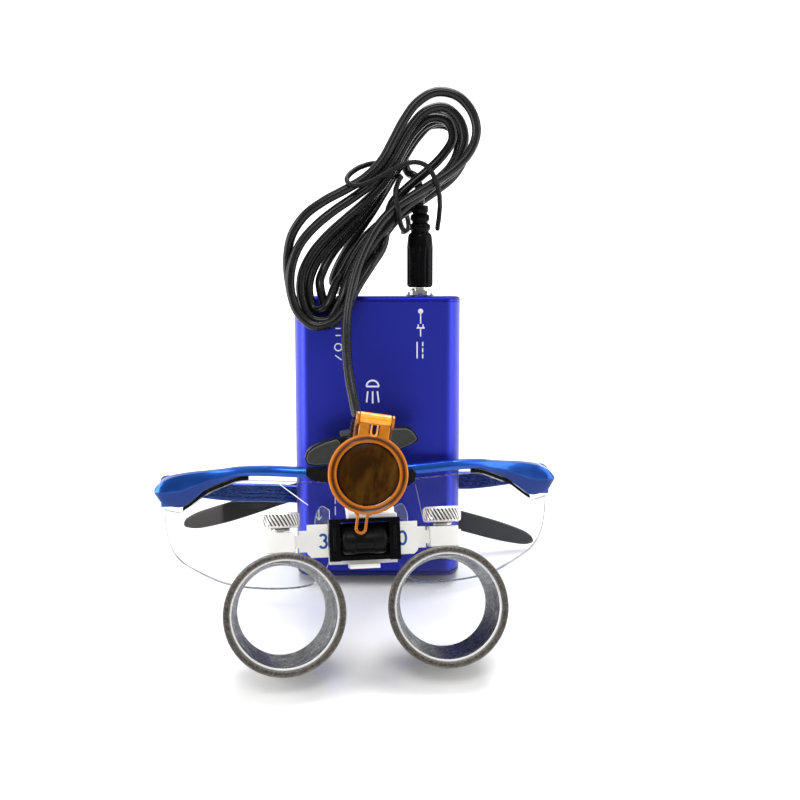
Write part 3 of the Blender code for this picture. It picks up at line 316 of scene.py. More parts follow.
# Its small emission is a painted glow on the orange hinge parts.
surface("hinge_orange", (0.92, 0.36, 0.015), 0.18, 0.0, (0.72, 0.20, 0.006), 0.8, 420, 0.10, 1200, 0.06,
    Coat_Weight=0.25, Coat_Roughness=0.05, Emission_Color=(1.0, 0.36, 0.02), Emission_Strength=0.03)
smoked_tip()
knurled_nickel()
# A grey line colour, drawn along the clear lens's edges as painted edge shade.
surface("edge_line", (0.42, 0.44, 0.47), 0.3, 0.0, None, 0.4, 900, 0.1, 2000, 0.02)
surface("glint", (0.9, 0.9, 0.92), 0.2, 0.0, None, 0.4, 900, 0.1, 2000, 0.02,
    Emission_Color=(1.0, 1.0, 1.0), Emission_Strength=0.45)
surface("dark_jaw", (0.004, 0.004, 0.0042), 0.45, 0.0, (0.009, 0.009, 0.009), 0.7, 900, 0.2, 2800, 0.06,
    Specular_IOR_Level=0.12)
# Its bright orange edge tone is a painted glow along the edges of the translucent plastic.
surface("orange_neck", (0.36, 0.10, 0.004), 0.2, 0.0, (0.10, 0.024, 0.001), 0.9, 420, 0.12, 1200, 0.08,
    (0.85, 0.33, 0.02), Specular_IOR_Level=0.3, Coat_Weight=0.2, Coat_Roughness=0.05)

# ---------------------------------------------------------------- mesh helpers
LINES = {"x": (Vector((0, 1, 0)), Vector((0, 0, 1)), Vector((1, 0, 0))),
    "y": (Vector((0, 0, 1)), Vector((1, 0, 0)), Vector((0, 1, 0))),
    "z": (Vector((1, 0, 0)), Vector((0, 1, 0)), Vector((0, 0, 1)))}


def lathe(profile, axis="z", at=(0, 0, 0), sides=64, shape=None):
    """Revolve a closed (radius, height) outline; shape(angle, radius, height) may change a radius."""
    e1, e2, e3 = LINES[axis]
    bm = bmesh.new()
    rings = []
    for radius, height in profile:
        base = Vector(at) + e3 * height
        if radius < 1e-6:
            rings.append([bm.verts.new(base)])
            continue
        ring = []
        for k in range(sides):
            ang = 2 * math.pi * k / sides
            r = shape(ang, radius, height) if shape else radius
            ring.append(bm.verts.new(base + (e1 * math.cos(ang) + e2 * math.sin(ang)) * r))
        rings.append(ring)
    for a, b in zip(rings, rings[1:] + rings[:1]):
        if len(a) == 1 and len(b) == 1:
            continue
        for k in range(sides):
            n = (k + 1) % sides
            if len(a) == 1:
                bm.faces.new((a[0], b[k], b[n]))
            elif len(b) == 1:
                bm.faces.new((a[k], b[0], a[n]))
            else:
                bm.faces.new((a[k], b[k], b[n], a[n]))
    return bm


def rod(radius, low, high, axis="z", at=(0, 0, 0), sides=40, edge=0.15):
    """Round bar with small chamfers."""
    return lathe([(0, low), (radius - edge, low), (radius, low + edge), (radius, high - edge),
        (radius - edge, high), (0, high)], axis, at, sides)


def hole(radius, low, high, axis="z", at=(0, 0, 0)):
    return "cut", rod(radius, low, high, axis, at, edge=0.01)


def block(x0, x1, y0, y1, z0, z1):
    bm = bmesh.new()
    bmesh.ops.create_cube(bm, size=1.0)
    for vert in bm.verts:
        vert.co = Vector((x0 + (vert.co.x + 0.5) * (x1 - x0), y0 + (vert.co.y + 0.5) * (y1 - y0),
            z0 + (vert.co.z + 0.5) * (z1 - z0)))
    return bm


def prism(outline, low, high, axis="z"):
    """Push a closed outline along an axis. Outline pairs are (y,z), (x,z) or (x,y)."""
    bm = bmesh.new()

    def point(a, b, h):
        return {"x": (h, a, b), "y": (a, h, b), "z": (a, b, h)}[axis]

    lower = [bm.verts.new(point(a, b, low)) for a, b in outline]
    upper = [bm.verts.new(point(a, b, high)) for a, b in outline]
    bm.faces.new(lower)
    bm.faces.new(upper)
    for k in range(len(outline)):
        n = (k + 1) % len(outline)
        bm.faces.new((lower[k], lower[n], upper[n], upper[k]))
    return bm


def loft(sections):
    """Skin equal closed rings and cap both ends."""
    bm = bmesh.new()
    rings = [[bm.verts.new(p) for p in ring] for ring in sections]
    count = len(rings[0])
    for a, b in zip(rings, rings[1:]):
        for k in range(count):
            n = (k + 1) % count
            bm.faces.new((a[k], a[n], b[n], b[k]))
    bm.faces.new(rings[0])
    bm.faces.new(rings[-1])
    return bm


def spline(rows, steps):
    """Catmull-Rom through rows of numbers."""
    out = []
    for i in range(len(rows) - 1):
        p0, p1, p2, p3 = rows[max(i - 1, 0)], rows[i], rows[i + 1], rows[min(i + 2, len(rows) - 1)]
        for k in range(steps):
            t = k / steps
            out.append(tuple(0.5 * (2 * b + (c - a) * t + (2 * a - 5 * b + 4 * c - d) * t * t
                + (3 * b - a - 3 * c + d) * t ** 3) for a, b, c, d in zip(p0, p1, p2, p3)))
    return out + [tuple(rows[-1])]


def sweep(route, radius, sides, ends=True, flat=1.0):
    """Round bar along a route, carried without twist, with rounded ends."""
    pts = [Vector(p) for p in route]
    sections, side = [], None
    for i, here in enumerate(pts):
        ahead = (pts[min(i + 1, len(pts) - 1)] - pts[max(i - 1, 0)]).normalized()
        if side is None:
            side = ahead.orthogonal().normalized()
        side = (side - ahead * side.dot(ahead)).normalized()
        up = ahead.cross(side)
        shrink = 0.72 if ends and i in (0, len(pts) - 1) else 1.0
        sections.append([here + (side * math.cos(2 * math.pi * k / sides) * flat + up
            * math.sin(2 * math.pi * k / sides)) * radius * shrink for k in range(sides)])
    return loft(sections)


def merged(*parts):
    """Several closed shells in one mesh."""
    out = bmesh.new()
    for part in parts:
        mesh = bpy.data.meshes.new("shell")
        part.to_mesh(mesh)
        part.free()
        out.from_mesh(mesh)
        bpy.data.meshes.remove(mesh)
    return out


def temp(bm):
    bmesh.ops.recalc_face_normals(bm, faces=bm.faces)
    mesh = bpy.data.meshes.new("temp")
    bm.to_mesh(mesh)
    bm.free()
    obj = bpy.data.objects.new("temp", mesh)
    bpy.context.scene.collection.objects.link(obj)
    return obj


def combined(base, *others):
    """Exact union (or, for ("cut", bm) pairs, difference) of closed shells."""
    body = temp(base)
    tools = []
    for other in others:
        cutting = isinstance(other, tuple)
        tool = temp(other[1] if cutting else other)
        tools.append(tool)
        mod = body.modifiers.new("join", "BOOLEAN")
        mod.operation = "DIFFERENCE" if cutting else "UNION"
        mod.solver = "EXACT"
        mod.object = tool
    bpy.context.view_layer.update()
    done = body.evaluated_get(bpy.context.evaluated_depsgraph_get())
    out = bmesh.new()
    out.from_mesh(done.data)
    for obj in [body] + tools:
        mesh = obj.data
        bpy.data.objects.remove(obj)
        bpy.data.meshes.remove(mesh)
    bmesh.ops.dissolve_limit(out, angle_limit=math.radians(0.5), verts=out.verts, edges=out.edges)
    return out


def piece(name, bm, look, node, at, round_off=0.0, angle=38.0, segments=2, body=None):
    """A visible piece that stands for a CAD node, takes that node's body and hides the node."""
    bmesh.ops.recalc_face_normals(bm, faces=bm.faces)
    for vert in bm.verts:
        vert.co *= MM
    mesh = bpy.data.meshes.new(name)
    bm.to_mesh(mesh)
    bm.free()
    for poly in mesh.polygons:
        poly.use_smooth = True
    mesh.materials.append(M[look])
    obj = bpy.data.objects.new(name, mesh)
    bpy.context.scene.collection.objects.link(obj)
    obj.matrix_world = at
    if round_off:
        mod = obj.modifiers.new("edges", "BEVEL")
        mod.width = round_off * MM
        mod.segments = segments
        mod.limit_method = "ANGLE"
        mod.angle_limit = math.radians(angle)
        mod.harden_normals = True
        mod.use_clamp_overlap = True
    else:
        mesh.set_sharp_from_angle(angle=math.radians(angle))
    if body is None:
        body = BODY[node]
    if body:
        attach(obj, body)
    if node:
        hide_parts(node)
    return obj


def finish_node(name, mat):
    """A CAD node that keeps its own shape gets a detailed material."""
    mesh = frame["nodes"][name].data
    mesh.materials.clear()
    mesh.materials.append(M[mat])


# ---------------------------------------------------------------- battery pack


def pack_outline(width, depth, side_x, side_y, steps):
    pts = []
    for sx, sy in ((1, 1), (-1, 1), (-1, -1), (1, -1)):
        arc = []
        for k in range(steps + 1):
            ang = math.pi / 2 * k / steps
            arc.append((sx * (width / 2 - side_x + side_x * math.cos(ang)),
                sy * (depth / 2 - side_y + side_y * math.sin(ang)) + MID_Y))
        pts += arc if sx * sy > 0 else arc[::-1]
    return pts


def shrunk(outline, by):
    return [(x * (1 - by / (PACK_W / 2)), MID_Y + (y - MID_Y) * (1 - by / (PACK_D / 2))) for x, y in outline]


JACK_X, SWITCH_X, SCREW_X = 16.3, -12.5, 27.3
CHARGE_AT = (-20.3, 5.4, 0)
PLATE_T = 1.8


def ring_levels(outline, levels):
    return loft([[(x, y, z) for x, y in shrunk(outline, by)] for by, z in levels])


def stroke(points, width, proud=0.05):
    """A printed line on the pack's front face, as a thin raised ribbon with square ends."""
    bm = bmesh.new()
    pts = [Vector(p) for p in points]
    left, right = [], []
    for i, here in enumerate(pts):
        ahead = (pts[min(i + 1, len(pts) - 1)] - pts[max(i - 1, 0)]).normalized()
        across = Vector((-ahead.y, ahead.x)) * width / 2
        left.append(here + across)
        right.append(here - across)
    outline = left + right[::-1]
    front = [bm.verts.new((p.x, -proud, p.y)) for p in outline]
    back = [bm.verts.new((p.x, 0.02, p.y)) for p in outline]
    n, count = len(pts), len(outline)
    for ring, flip in ((front, False), (back, True)):
        for i in range(n - 1):
            quad = (ring[i], ring[i + 1], ring[count - 2 - i], ring[count - 1 - i])
            bm.faces.new(quad[::-1] if flip else quad)
    for k in range(count):
        m = (k + 1) % count
        bm.faces.new((front[k], back[k], back[m], front[m]))
    return bm


def arc(cx, cz, r, start, end, steps=20):
    return [(cx + r * math.cos(math.radians(start + (end - start) * k / steps)),
        cz + r * math.sin(math.radians(start + (end - start) * k / steps))) for k in range(steps + 1)]


def disc(cx, cz, r):
    return prism([(x, z) for x, z in arc(cx, cz, r, 0, 345, 23)], -0.05, 0.02, "y")


def build_pack():
    outer = pack_outline(PACK_W, PACK_D, 6.0, 11.6, 20)
    shell = ring_levels(outer, ((0.25, PLATE_T + 0.1), (0.0, PLATE_T + 0.35), (0.0, PACK_H - PLATE_T - 0.14),
        (0.08, PACK_H - PLATE_T - 0.06)))
    hollow = ring_levels(pack_outline(48.0, PACK_D - 3.4, 1.2, 1.2, 4), ((0, -1), (0, PACK_H + 1)))
    piece("pack_case", combined(shell, ("cut", hollow)), "blue", "pack_shell", PACK)
    top = ring_levels(outer, ((0.06, PACK_H - PLATE_T), (0.0, PACK_H - PLATE_T + 0.06), (0.0, PACK_H - 0.9),
        (0.15, PACK_H - 0.4), (0.45, PACK_H - 0.1), (0.9, PACK_H)))
    holes = []
    for x in (-SCREW_X, SCREW_X):
        holes.append(("cut", lathe([(0, PACK_H + 1), (2.5, PACK_H + 1), (2.5, PACK_H), (1.35, PACK_H - 1.2),
            (1.35, PACK_H - 3), (0, PACK_H - 3)], at=(x, MID_Y, 0), sides=32)))
    for x, r in ((JACK_X, 4.25), (SWITCH_X, 3.95)):
        holes.append(("cut", rod(r, 100, 110, at=(x, MID_Y, 0))))
    piece("pack_lid", combined(top, *holes), "blue", "top_plate", PACK)
    base = ring_levels(outer, ((0.6, 0.0), (0.15, 0.2), (0.0, 0.55), (0.0, PLATE_T - 0.12), (0.12, PLATE_T)))
    socket = ("cut", rod(2.0, -2, 4, at=CHARGE_AT, sides=32))
    piece("pack_foot", combined(base, socket), "navy", "bottom_plate", PACK)
    piece("charge_socket", lathe([(0, 12), (2.7, 12), (2.7, 2.2), (2.45, 1.95), (1.35, 1.95), (1.2, 2.2),
        (1.2, 9), (0, 9)], at=CHARGE_AT, sides=40), "gloss_black", "charge_jack", PACK)
    for side, tag in SIDES:
        x = side * SCREW_X
        head = lathe([(0, PACK_H - 0.1), (1.9, PACK_H - 0.1), (2.2, PACK_H - 0.3), (1.15, PACK_H - 1.3),
            (1.15, PACK_H - 8), (0, PACK_H - 8)], at=(x, MID_Y, 0), sides=40)
        hexagon = [(x + 1.05 * math.cos(math.radians(60 * k)), MID_Y + 1.05 * math.sin(math.radians(60 * k)))
            for k in range(6)]
        piece("lid_screw_" + tag, combined(head, ("cut", prism(hexagon, PACK_H - 1.3, PACK_H + 1))), "steel",
            "plate_screw_" + tag, PACK)
    threads = [(4.0 if k % 2 else 3.82, 105.0 + k * 0.35) for k in range(13)]
    piece("output_barrel", lathe([(0, 91), (5.2, 91), (5.2, 104.9), (4.0, 104.9)] + threads + [(3.7, 110.0),
        (3.0, 110.0), (3.0, 96.5), (0, 96.5)], at=(JACK_X, MID_Y, 0)), "nickel", "output_jack", PACK)

    def hex_side(ang, radius, height):
        if radius < 5:
            return radius
        face = math.cos(math.pi / 6) / math.cos((ang % (math.pi / 3)) - math.pi / 6)
        return min(radius, 5.75 * face)

    nut = [(4.2, 107.1), (4.9, 107.1), (5.6, 107.4), (5.6, 109.2), (5.1, 109.6), (4.4, 109.6), (4.2, 109.4)]
    piece("output_nut", lathe(nut, at=(JACK_X, MID_Y, 0), sides=96, shape=hex_side), "nickel", "jack_nut",
        PACK, angle=25)
    collar = [(2.9, 96), (3.8, 96), (3.8, 107.1), (5.2, 107.1), (5.2, 107.5), (4.9, 108.2), (4.6, 108.4),
        (3.1, 108.4), (2.9, 108.1)]
    piece("switch_collar", lathe(collar, at=(SWITCH_X, MID_Y, 0)), "nickel", "switch_ring", PACK)
    button = [(0, 99), (2.65, 99), (2.65, 109.3), (2.35, 109.85), (1.9, 110.0), (0, 109.8)]
    piece("switch_button", lathe(button, at=(SWITCH_X, MID_Y, 0)), "steel", "power_button", PACK)
    finish_node("battery", "cell")
    finish_node("circuit_board", "board")
    dots = ((16.4, 101.6, 0.95), (-22.3, 19.6, 0.75))
    lines = (  # width, then the points
        # output: a dot on a line, then a plug on its lead
        (0.42, (16.4, 101.6), (16.4, 97.0)), (0.42, (16.4, 95.4), (16.4, 92.2)),
        (0.5, (14.9, 95.4), (17.9, 95.4)), (0.45, (15.5, 96.7), (15.5, 95.4)),
        (0.45, (17.3, 96.7), (17.3, 95.4)), (0.45, (15.1, 90.2), (15.1, 84.0)),
        (0.45, (17.2, 90.2), (17.2, 88.6)), (0.45, (17.2, 87.9), (17.2, 86.3)),
        (0.45, (17.2, 85.6), (17.2, 84.0)),
        # switch: strokes and a ring
        (0.42, (-15.4, 92.6), (-13.4, 92.6)), (0.42, *arc(-14.4, 88.2, 1.35, 0, 360)),
        (0.36, (-15.6, 85.2), (-13.2, 83.4)), (0.42, (-15.4, 95.2), (-13.4, 95.2)),
        # lamp beam
        (0.6, *arc(-1.6, 73.4, 2.3, 0, 180), (-3.9, 73.4)), (0.6, (-4.0, 73.4), (0.8, 73.4)),
        (0.6, (-3.4, 71.6), (-3.9, 67.4)), (0.6, (-1.6, 71.6), (-1.6, 67.0)), (0.6, (0.2, 71.6), (0.7, 67.4)),
        # charging input: an arrow, then two dashes
        (0.4, (-22.3, 26.0), (-22.3, 22.2)), (0.4, (-23.3, 23.4), (-22.3, 22.0), (-21.3, 23.4)),
        (0.35, (-16.0, 32.0), (-16.0, 28.4)), (0.35, (-16.0, 27.4), (-16.0, 24.0)))
    icons = [disc(*dot) for dot in dots] + [stroke(points, width) for width, *points in lines]
    piece("pack_marks", merged(*icons), "print", None, PACK, angle=20, body="power_pack")


def build_plug():
    def flutes(ang, radius, height):
        if radius < 4.3 or not 111.4 < height < 125.3:
            return radius
        return radius - 0.38 * max(0.0, math.cos(12 * ang)) ** 2

    body = [(0, 110.3), (4.1, 110.3), (4.4, 110.5), (4.95, 111.0), (5.0, 111.35), (5.0, 111.6), (5.0, 114.0),
        (5.0, 118.0), (5.0, 122.0), (5.0, 125.0), (5.0, 125.5), (4.95, 126.2), (4.8, 127.8), (4.55, 129.6),
        (4.3, 130.4), (3.8, 130.85), (3.5, 131.05), (3.4, 131.4), (3.5, 131.8), (3.8, 132.05), (3.95, 132.5),
        (3.95, 133.7), (3.8, 134.1), (3.2, 134.4), (3.0, 134.7), (3.0, 135.1), (3.2, 135.4), (3.5, 135.6),
        (3.65, 136.0), (3.65, 137.2), (3.5, 137.6), (3.0, 137.9), (2.8, 138.1), (2.8, 138.4), (3.0, 138.7),
        (3.2, 139.0), (3.2, 140.2), (3.05, 141.0), (2.6, 141.2), (0, 141.2)]
    piece("plug_grip", lathe(body, at=(JACK_X, MID_Y, 0), sides=96, shape=flutes), "gloss_black", "plug_body",
        PACK)
    piece("plug_contact", lathe([(0, 97.5), (2.0, 97.5), (2.5, 97.8), (2.7, 98.4), (2.7, 103.0), (2.5, 103.2),
        (2.5, 103.6), (2.7, 103.8), (2.7, 110.2), (0, 110.2)], at=(JACK_X, MID_Y, 0)), "nickel", "plug_pin",
        PACK)


# ---------------------------------------------------------------- cable
CABLE_ROUTE = [(-5.7, -27.4, 78.7), (-7.4, -20.9, 84.2), (-8.8, -14.3, 89.3), (-9.8, -7.9, 94.7),
    (-10.3, -1.9, 100.5), (-10.1, 3.6, 107.2), (-8.8, 8.4, 114.5), (-6.6, 12.6, 122), (-3.4, 16.5, 129.2),
    (0.7, 19.9, 135.9), (6.4, 22.7, 141.7), (13.6, 24.7, 146.3), (21.1, 26.4, 150.7), (28.3, 28.3, 155.3),
    (34.1, 30.4, 161.1), (36.7, 32.8, 168.2), (34.9, 35.1, 175.4), (29.4, 36.7, 180.9), (21.7, 36.8, 182.1),
    (15, 35.5, 178.5), (10.1, 33.1, 172.4), (6.2, 30.3, 165.5), (2.1, 27.4, 158.5), (-3.8, 25.1, 152.7),
    (-11.1, 23.4, 148.5), (-18.8, 21.8, 144.6), (-25.8, 20.4, 139.6), (-30.6, 19.1, 132.7),
    (-32.4, 17.8, 124.3), (-31.9, 16.3, 115.7), (-29.9, 15.2, 107.4), (-24.7, 14.3, 101.1),
    (-17.2, 14.6, 100.4), (-10.7, 15.5, 105.8), (-7.3, 19, 114.5), (-4.6, 22.5, 120.7), (-1.2, 23.5, 128.7),
    (4.4, 25.3, 135.2), (10.2, 27.9, 141.3), (17.2, 29.6, 146.3), (23.9, 32, 151.5), (29.5, 34.2, 157.8),
    (32.5, 36.3, 165.1), (30.7, 38.2, 172.3), (24.9, 39.1, 176.7), (17.8, 38.4, 175.1), (12.5, 36.2, 169.7),
    (8.3, 33.4, 163.1), (4, 30.5, 156.3), (-1.6, 27.8, 150.3), (-8.3, 25, 145.5), (-15.4, 22.2, 141),
    (-22, 19.5, 135.9), (-27.5, 16.7, 129.7), (-30.5, 13.7, 122.2), (-30.9, 11.2, 114.1), (-28.3, 8.5, 106.6),
    (-22.4, 6.9, 101.7), (-15.4, 7.8, 103.4), (-10.2, 10.7, 109.1), (-6.2, 15.1, 115.4), (-1.7, 19.5, 121.7),
    (2.3, 25.8, 127.3), (3.8, 29.3, 134.8), (5.7, 32.2, 142.4), (11.5, 35.3, 148), (18.2, 37.6, 153.3),
    (24.3, 39.5, 158.9), (28.4, 40.8, 165.4), (26.2, 41.8, 171.7), (19.6, 41.7, 172.6), (13.8, 39.9, 168),
    (9.6, 37.1, 161.7), (5.7, 33.9, 154.7), (0.9, 30.6, 148.2), (-5.3, 27.7, 142.6), (-11.8, 25.2, 137.3),
    (-18.2, 22.8, 131.8), (-23.7, 20, 125.6), (-27.2, 16.8, 118.4), (-27.2, 13.5, 110.6), (-24, 11.1, 103.7),
    (-17.3, 11.4, 103), (-13, 13.7, 109.4), (-10.8, 18.8, 116.4), (-7.6, 24.7, 122.5), (-3.3, 29.4, 128.4),
    (2.3, 33.1, 134.3), (8.8, 33.8, 140.1), (15.3, 33.2, 146.1), (22.4, 37, 150.4), (28.2, 40.5, 155.9),
    (30.8, 43.5, 162.9), (28.7, 45.6, 170.1), (22.5, 46.1, 173.9), (15.8, 45, 171.1), (10.7, 42.7, 165.4),
    (6.5, 39.8, 158.7), (2.8, 36.6, 151.8), (-1.2, 33.4, 144.9), (-6.5, 30.3, 138.6), (-12.6, 27.3, 132.8),
    (-18.5, 24.3, 126.9), (-23.2, 21.2, 120.2), (-24.9, 17.7, 112.9), (-22.9, 14.9, 106.1),
    (-18.4, 13, 107.1), (-15, 19.2, 114.4), (-12.1, 24.9, 118.4), (-8.4, 30.1, 124.5), (-3.7, 34.4, 130.3),
    (2.3, 37.9, 135.2), (8.7, 41.4, 139.8), (15.5, 45.5, 145), (23.4, 44.9, 148.8), (29.8, 45.9, 153.5),
    (32.6, 47.7, 160.2), (30.6, 49.3, 167.3), (24.7, 50, 171.7), (17.8, 48.9, 169.6), (12.7, 46.6, 164),
    (8.4, 43.6, 157.4), (4.4, 40.4, 150.6), (0.1, 37.3, 143.7), (-5, 34.1, 137.2), (-10.7, 30.9, 131.2),
    (-16.2, 27.5, 125.1), (-20, 23.5, 118.6), (-20.9, 19.1, 113.9), (-17.9, 16.3, 105.5),
    (-12.8, 17.9, 109.8), (-8.8, 25.5, 113.7), (-5.5, 31.1, 117.7), (-1.6, 36, 123.9), (3.1, 40.1, 130.1),
    (8.5, 43.6, 136.1), (15.5, 46.4, 140.6), (22.7, 48.1, 145.4), (29.3, 49.6, 150.6), (33.3, 51.5, 157.2),
    (32.8, 53.3, 164.6), (27.8, 54.4, 170.2), (20.9, 54, 170.1), (15.3, 52, 165), (10.8, 49.1, 158.6),
    (6.7, 46, 151.9), (2.4, 42.8, 145.1), (-2.1, 39.8, 138.1), (-6.9, 37, 131.4), (-11.7, 34.5, 124.5),
    (-15.6, 32.3, 117.4), (-16.8, 31.4, 112.8), (-14, 32.7, 112.5), (-12.4, 35, 113.9), (-10.2, 38.4, 120),
    (-6, 41.9, 126.5), (-0.3, 45.2, 132.1), (6.8, 47.9, 136.2), (14.1, 50.4, 140.4), (21.2, 52.6, 145),
    (27.7, 54.6, 150.3), (32.3, 56.4, 157), (32.1, 58, 164.4), (26.5, 58.9, 169.3), (18.9, 58.4, 168.8),
    (13.1, 56.4, 163.7), (10.5, 53.3, 156.7), (11.8, 49.1, 152.3), (14.6, 44.3, 150.8), (16.3, 39.6, 145.5),
    (16.3, 38.8, 141.2),]
TIE_ROUTE = [(22.9, 37.4, 131.8), (23.1, 36.4, 134.2), (23.4, 35.3, 136.6), (23.5, 34.2, 138.8),
    (23.6, 33.1, 140.5), (23.6, 31.9, 141.8), (23.5, 30.7, 142.8), (23.4, 29.4, 143.8), (23.3, 28.2, 144.8),
    (23.2, 27, 145.8), (22.9, 25.8, 147.1), (22.6, 24.6, 148.7), (22.1, 23.7, 150.7), (21.2, 23.7, 152.6),
    (20.4, 23.7, 154.2), (19.5, 23.8, 155.5), (18.6, 23.7, 156.6), (17.4, 23.7, 157.4), (15.7, 23.7, 158),
    (13.9, 23.6, 158.2), (12, 23.4, 158), (10.1, 23.2, 157.5), (8.2, 23, 156.7), (6.2, 22.8, 155.7),
    (4.1, 22.5, 154.6), (1.7, 22.2, 153.3), (-0.8, 21.9, 152), (-3.3, 21.6, 151), (-5.7, 21.3, 150.3),
    (-7.8, 21.1, 150.2), (-9.4, 21.2, 150.7), (-10.4, 22.3, 151.6), (-10.5, 24.1, 152.4), (-9.8, 26.1, 153.5),
    (-8.2, 28.1, 154.7), (-6.3, 30.1, 155.7), (-4.6, 32, 156.2), (-3.3, 33.9, 156.5), (-2.2, 35.7, 156.6),
    (-1.1, 37.5, 156.6), (-0.1, 39.3, 156.5), (0.9, 41.1, 156.2), (1.9, 42.8, 155.9), (2.9, 44.5, 155.5),
    (4, 46.2, 154.9), (5, 47.9, 154.1), (6.2, 49.1, 153), (7.6, 49.1, 151.8), (8.7, 48, 150.9),
    (9.1, 45.8, 150.5), (8.7, 43.6, 150.5), (8.5, 41.4, 150.4), (8.3, 39.2, 150.1), (8.1, 37, 149.9),
    (7.9, 34.8, 149.6), (7.7, 32.6, 149.3), (7.5, 30.4, 149), (7.3, 28.2, 148.5), (7.1, 26, 147.8),
    (7.1, 23.7, 146.6), (7.2, 21.3, 144.8), (8, 20.3, 142), (8.3, 21.9, 139.2), (8.7, 23.9, 136.8),
    (9.2, 25.9, 134.9), (9.7, 28, 133.6), (10.1, 30.2, 132.6), (10.3, 32.4, 131.9), (10.1, 34.7, 131.3),
    (9.9, 37.2, 131), (10.5, 39.7, 130.8), (11.4, 41.7, 131), (11.8, 43.6, 131.4), (12, 45.6, 131.9),
    (12, 47.7, 132.7), (11.8, 49.8, 133.7), (11.4, 52, 135.3), (10.7, 54.2, 137.2),]


def build_cable():
    lead = piece("lamp_cable", sweep(spline(CABLE_ROUTE, 5), 1.7, 14), "cable", "cable", WORLD, angle=60,
        body="")
    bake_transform(lead)

    bands = spline(TIE_ROUTE, 3)
    piece("wire_tie", sweep(bands, 1.0, 10, flat=0.85), "tie", "cable_tie", WORLD, angle=60)


# ---------------------------------------------------------------- spectacles
BROW = [  # x, front y, top z, bottom z, thickness
    (0.0, 0.0, 3.6, 0.2, 3.0), (10.0, 0.4, 3.7, 0.1, 3.0), (22.5, 2.3, 3.7, -0.1, 3.0),
    (33.5, 4.2, 4.0, 0.2, 3.0), (44.5, 7.2, 3.2, -0.4, 3.1), (51.0, 9.3, 1.9, -3.0, 3.3),
    (57.0, 11.4, 0.8, -6.1, 3.5), (62.0, 12.9, 0.0, -10.1, 3.8), (66.5, 14.2, -1.0, -13.4, 4.2),
    (70.5, 15.3, -2.2, -13.6, 5.0), (74.3, 16.4, -4.2, -12.4, 5.0), (76.5, 17.6, -6.4, -9.8, 4.0)]
LENS_EDGE = [(0, -14.5), (6, -16.0), (9.5, -20.5), (11.8, -28.5), (13.6, -34.5), (17.5, -40.2), (24, -42.4),
    (34, -43.2), (44, -43.2), (52, -42.2), (58, -40.2), (63.5, -37.6), (67.5, -35.2), (70.4, -31.8),
    (72.2, -27.5), (73.2, -21.5), (73.4, -16.4)]
LENS_T, LENS_RAKE = 1.8, 0.05
BROW_FINE = spline([(-r[0], *r[1:]) for r in BROW[::-1]] + BROW[1:], 6)
EDGE_FINE = spline(LENS_EDGE, 6)


def between(table, x):
    for a, b in zip(table, table[1:]):
        if a[0] <= x <= b[0] and b[0] > a[0]:
            t = (x - a[0]) / (b[0] - a[0])
            return [a[i] + (b[i] - a[i]) * t for i in range(1, len(a))]
    return list(table[-1][1:])


def build_brow():
    sections = []
    for x, y, top, low, thick in BROW_FINE:
        tall = top - low
        mid, edge = low + 0.52 * tall, 0.2 * tall
        sections.append([(x, y + f, z) for f, z in ((thick - 0.5, low), (1.3, low), (0.6, low + 0.12),
            (0.18, low + edge * 0.6), (0.0, low + edge), (-0.36, mid - 0.12 * tall),
            (-0.52, mid - 0.02 * tall), (-0.42, mid + 0.06 * tall), (0.02, top - edge),
            (0.2, top - edge * 0.6), (0.6, top - 0.12), (1.3, top), (thick - 0.5, top), (thick, top - 0.45),
            (thick, low + 0.45))])
    for sign, end in ((-1, 0), (1, -1)):
        ring = sections[end]
        cx, cy, cz = (sum(p[k] for p in ring) / len(ring) for k in range(3))
        cap = [(cx + sign * 0.55, cy + (p[1] - cy) * 0.6, cz + (p[2] - cz) * 0.55) for p in ring]
        sections = [cap] + sections if end == 0 else sections + [cap]
    piece("brow", loft(sections), "frame", "brow_frame", SPECS, angle=30)
    nose = prism([(-9, 1.2), (-9, -7.5), (-7.5, -9.3), (7.5, -9.3), (9, -7.5), (9, 1.2)], 0.45, 2.95, "y")
    piece("brow_nose_block", nose, "frame", "brow_frame", SPECS, round_off=0.5)
    for side, tag in SIDES:
        lugs = []
        for low, high in ((-4.9, -2.7), (2.7, 4.5)):
            outline = [(side * x, y) for x, y in spline([(2.2, -7.0), (2.4, -3.5), (2.4, -0.5), (1.4, 2.1),
                (-1.4, 2.1), (-2.4, -0.5), (-3.2, -7.0)], 4)]
            lugs.append(combined(prism(outline, low, high), hole(1.15, -8, 8)))
        piece("brow_lugs_" + tag, merged(*lugs), "frame", "brow_frame", HINGE[tag], round_off=0.2)
        pin = lathe([(0, -4.8), (0.75, -4.8), (0.95, -4.6), (0.95, 4.2), (0.75, 4.4), (0.45, 4.4),
            (0.45, 3.9), (0, 3.9)])
        piece("fold_pin_" + tag, pin, "steel", "hinge_pin_" + tag, HINGE[tag])


# Lines painted on the lens: the left one glows white as a painted reflection, the right one is a thin grey
# line of painted edge shade.
GLINTS = (("lens_glint_left", (-30.2, -2.8), (-20.1, -10.5), 0.17, "glint"),
    ("lens_notch_right", (19.7, -3.8), (22.8, -18.4), 0.08, "edge_line"))


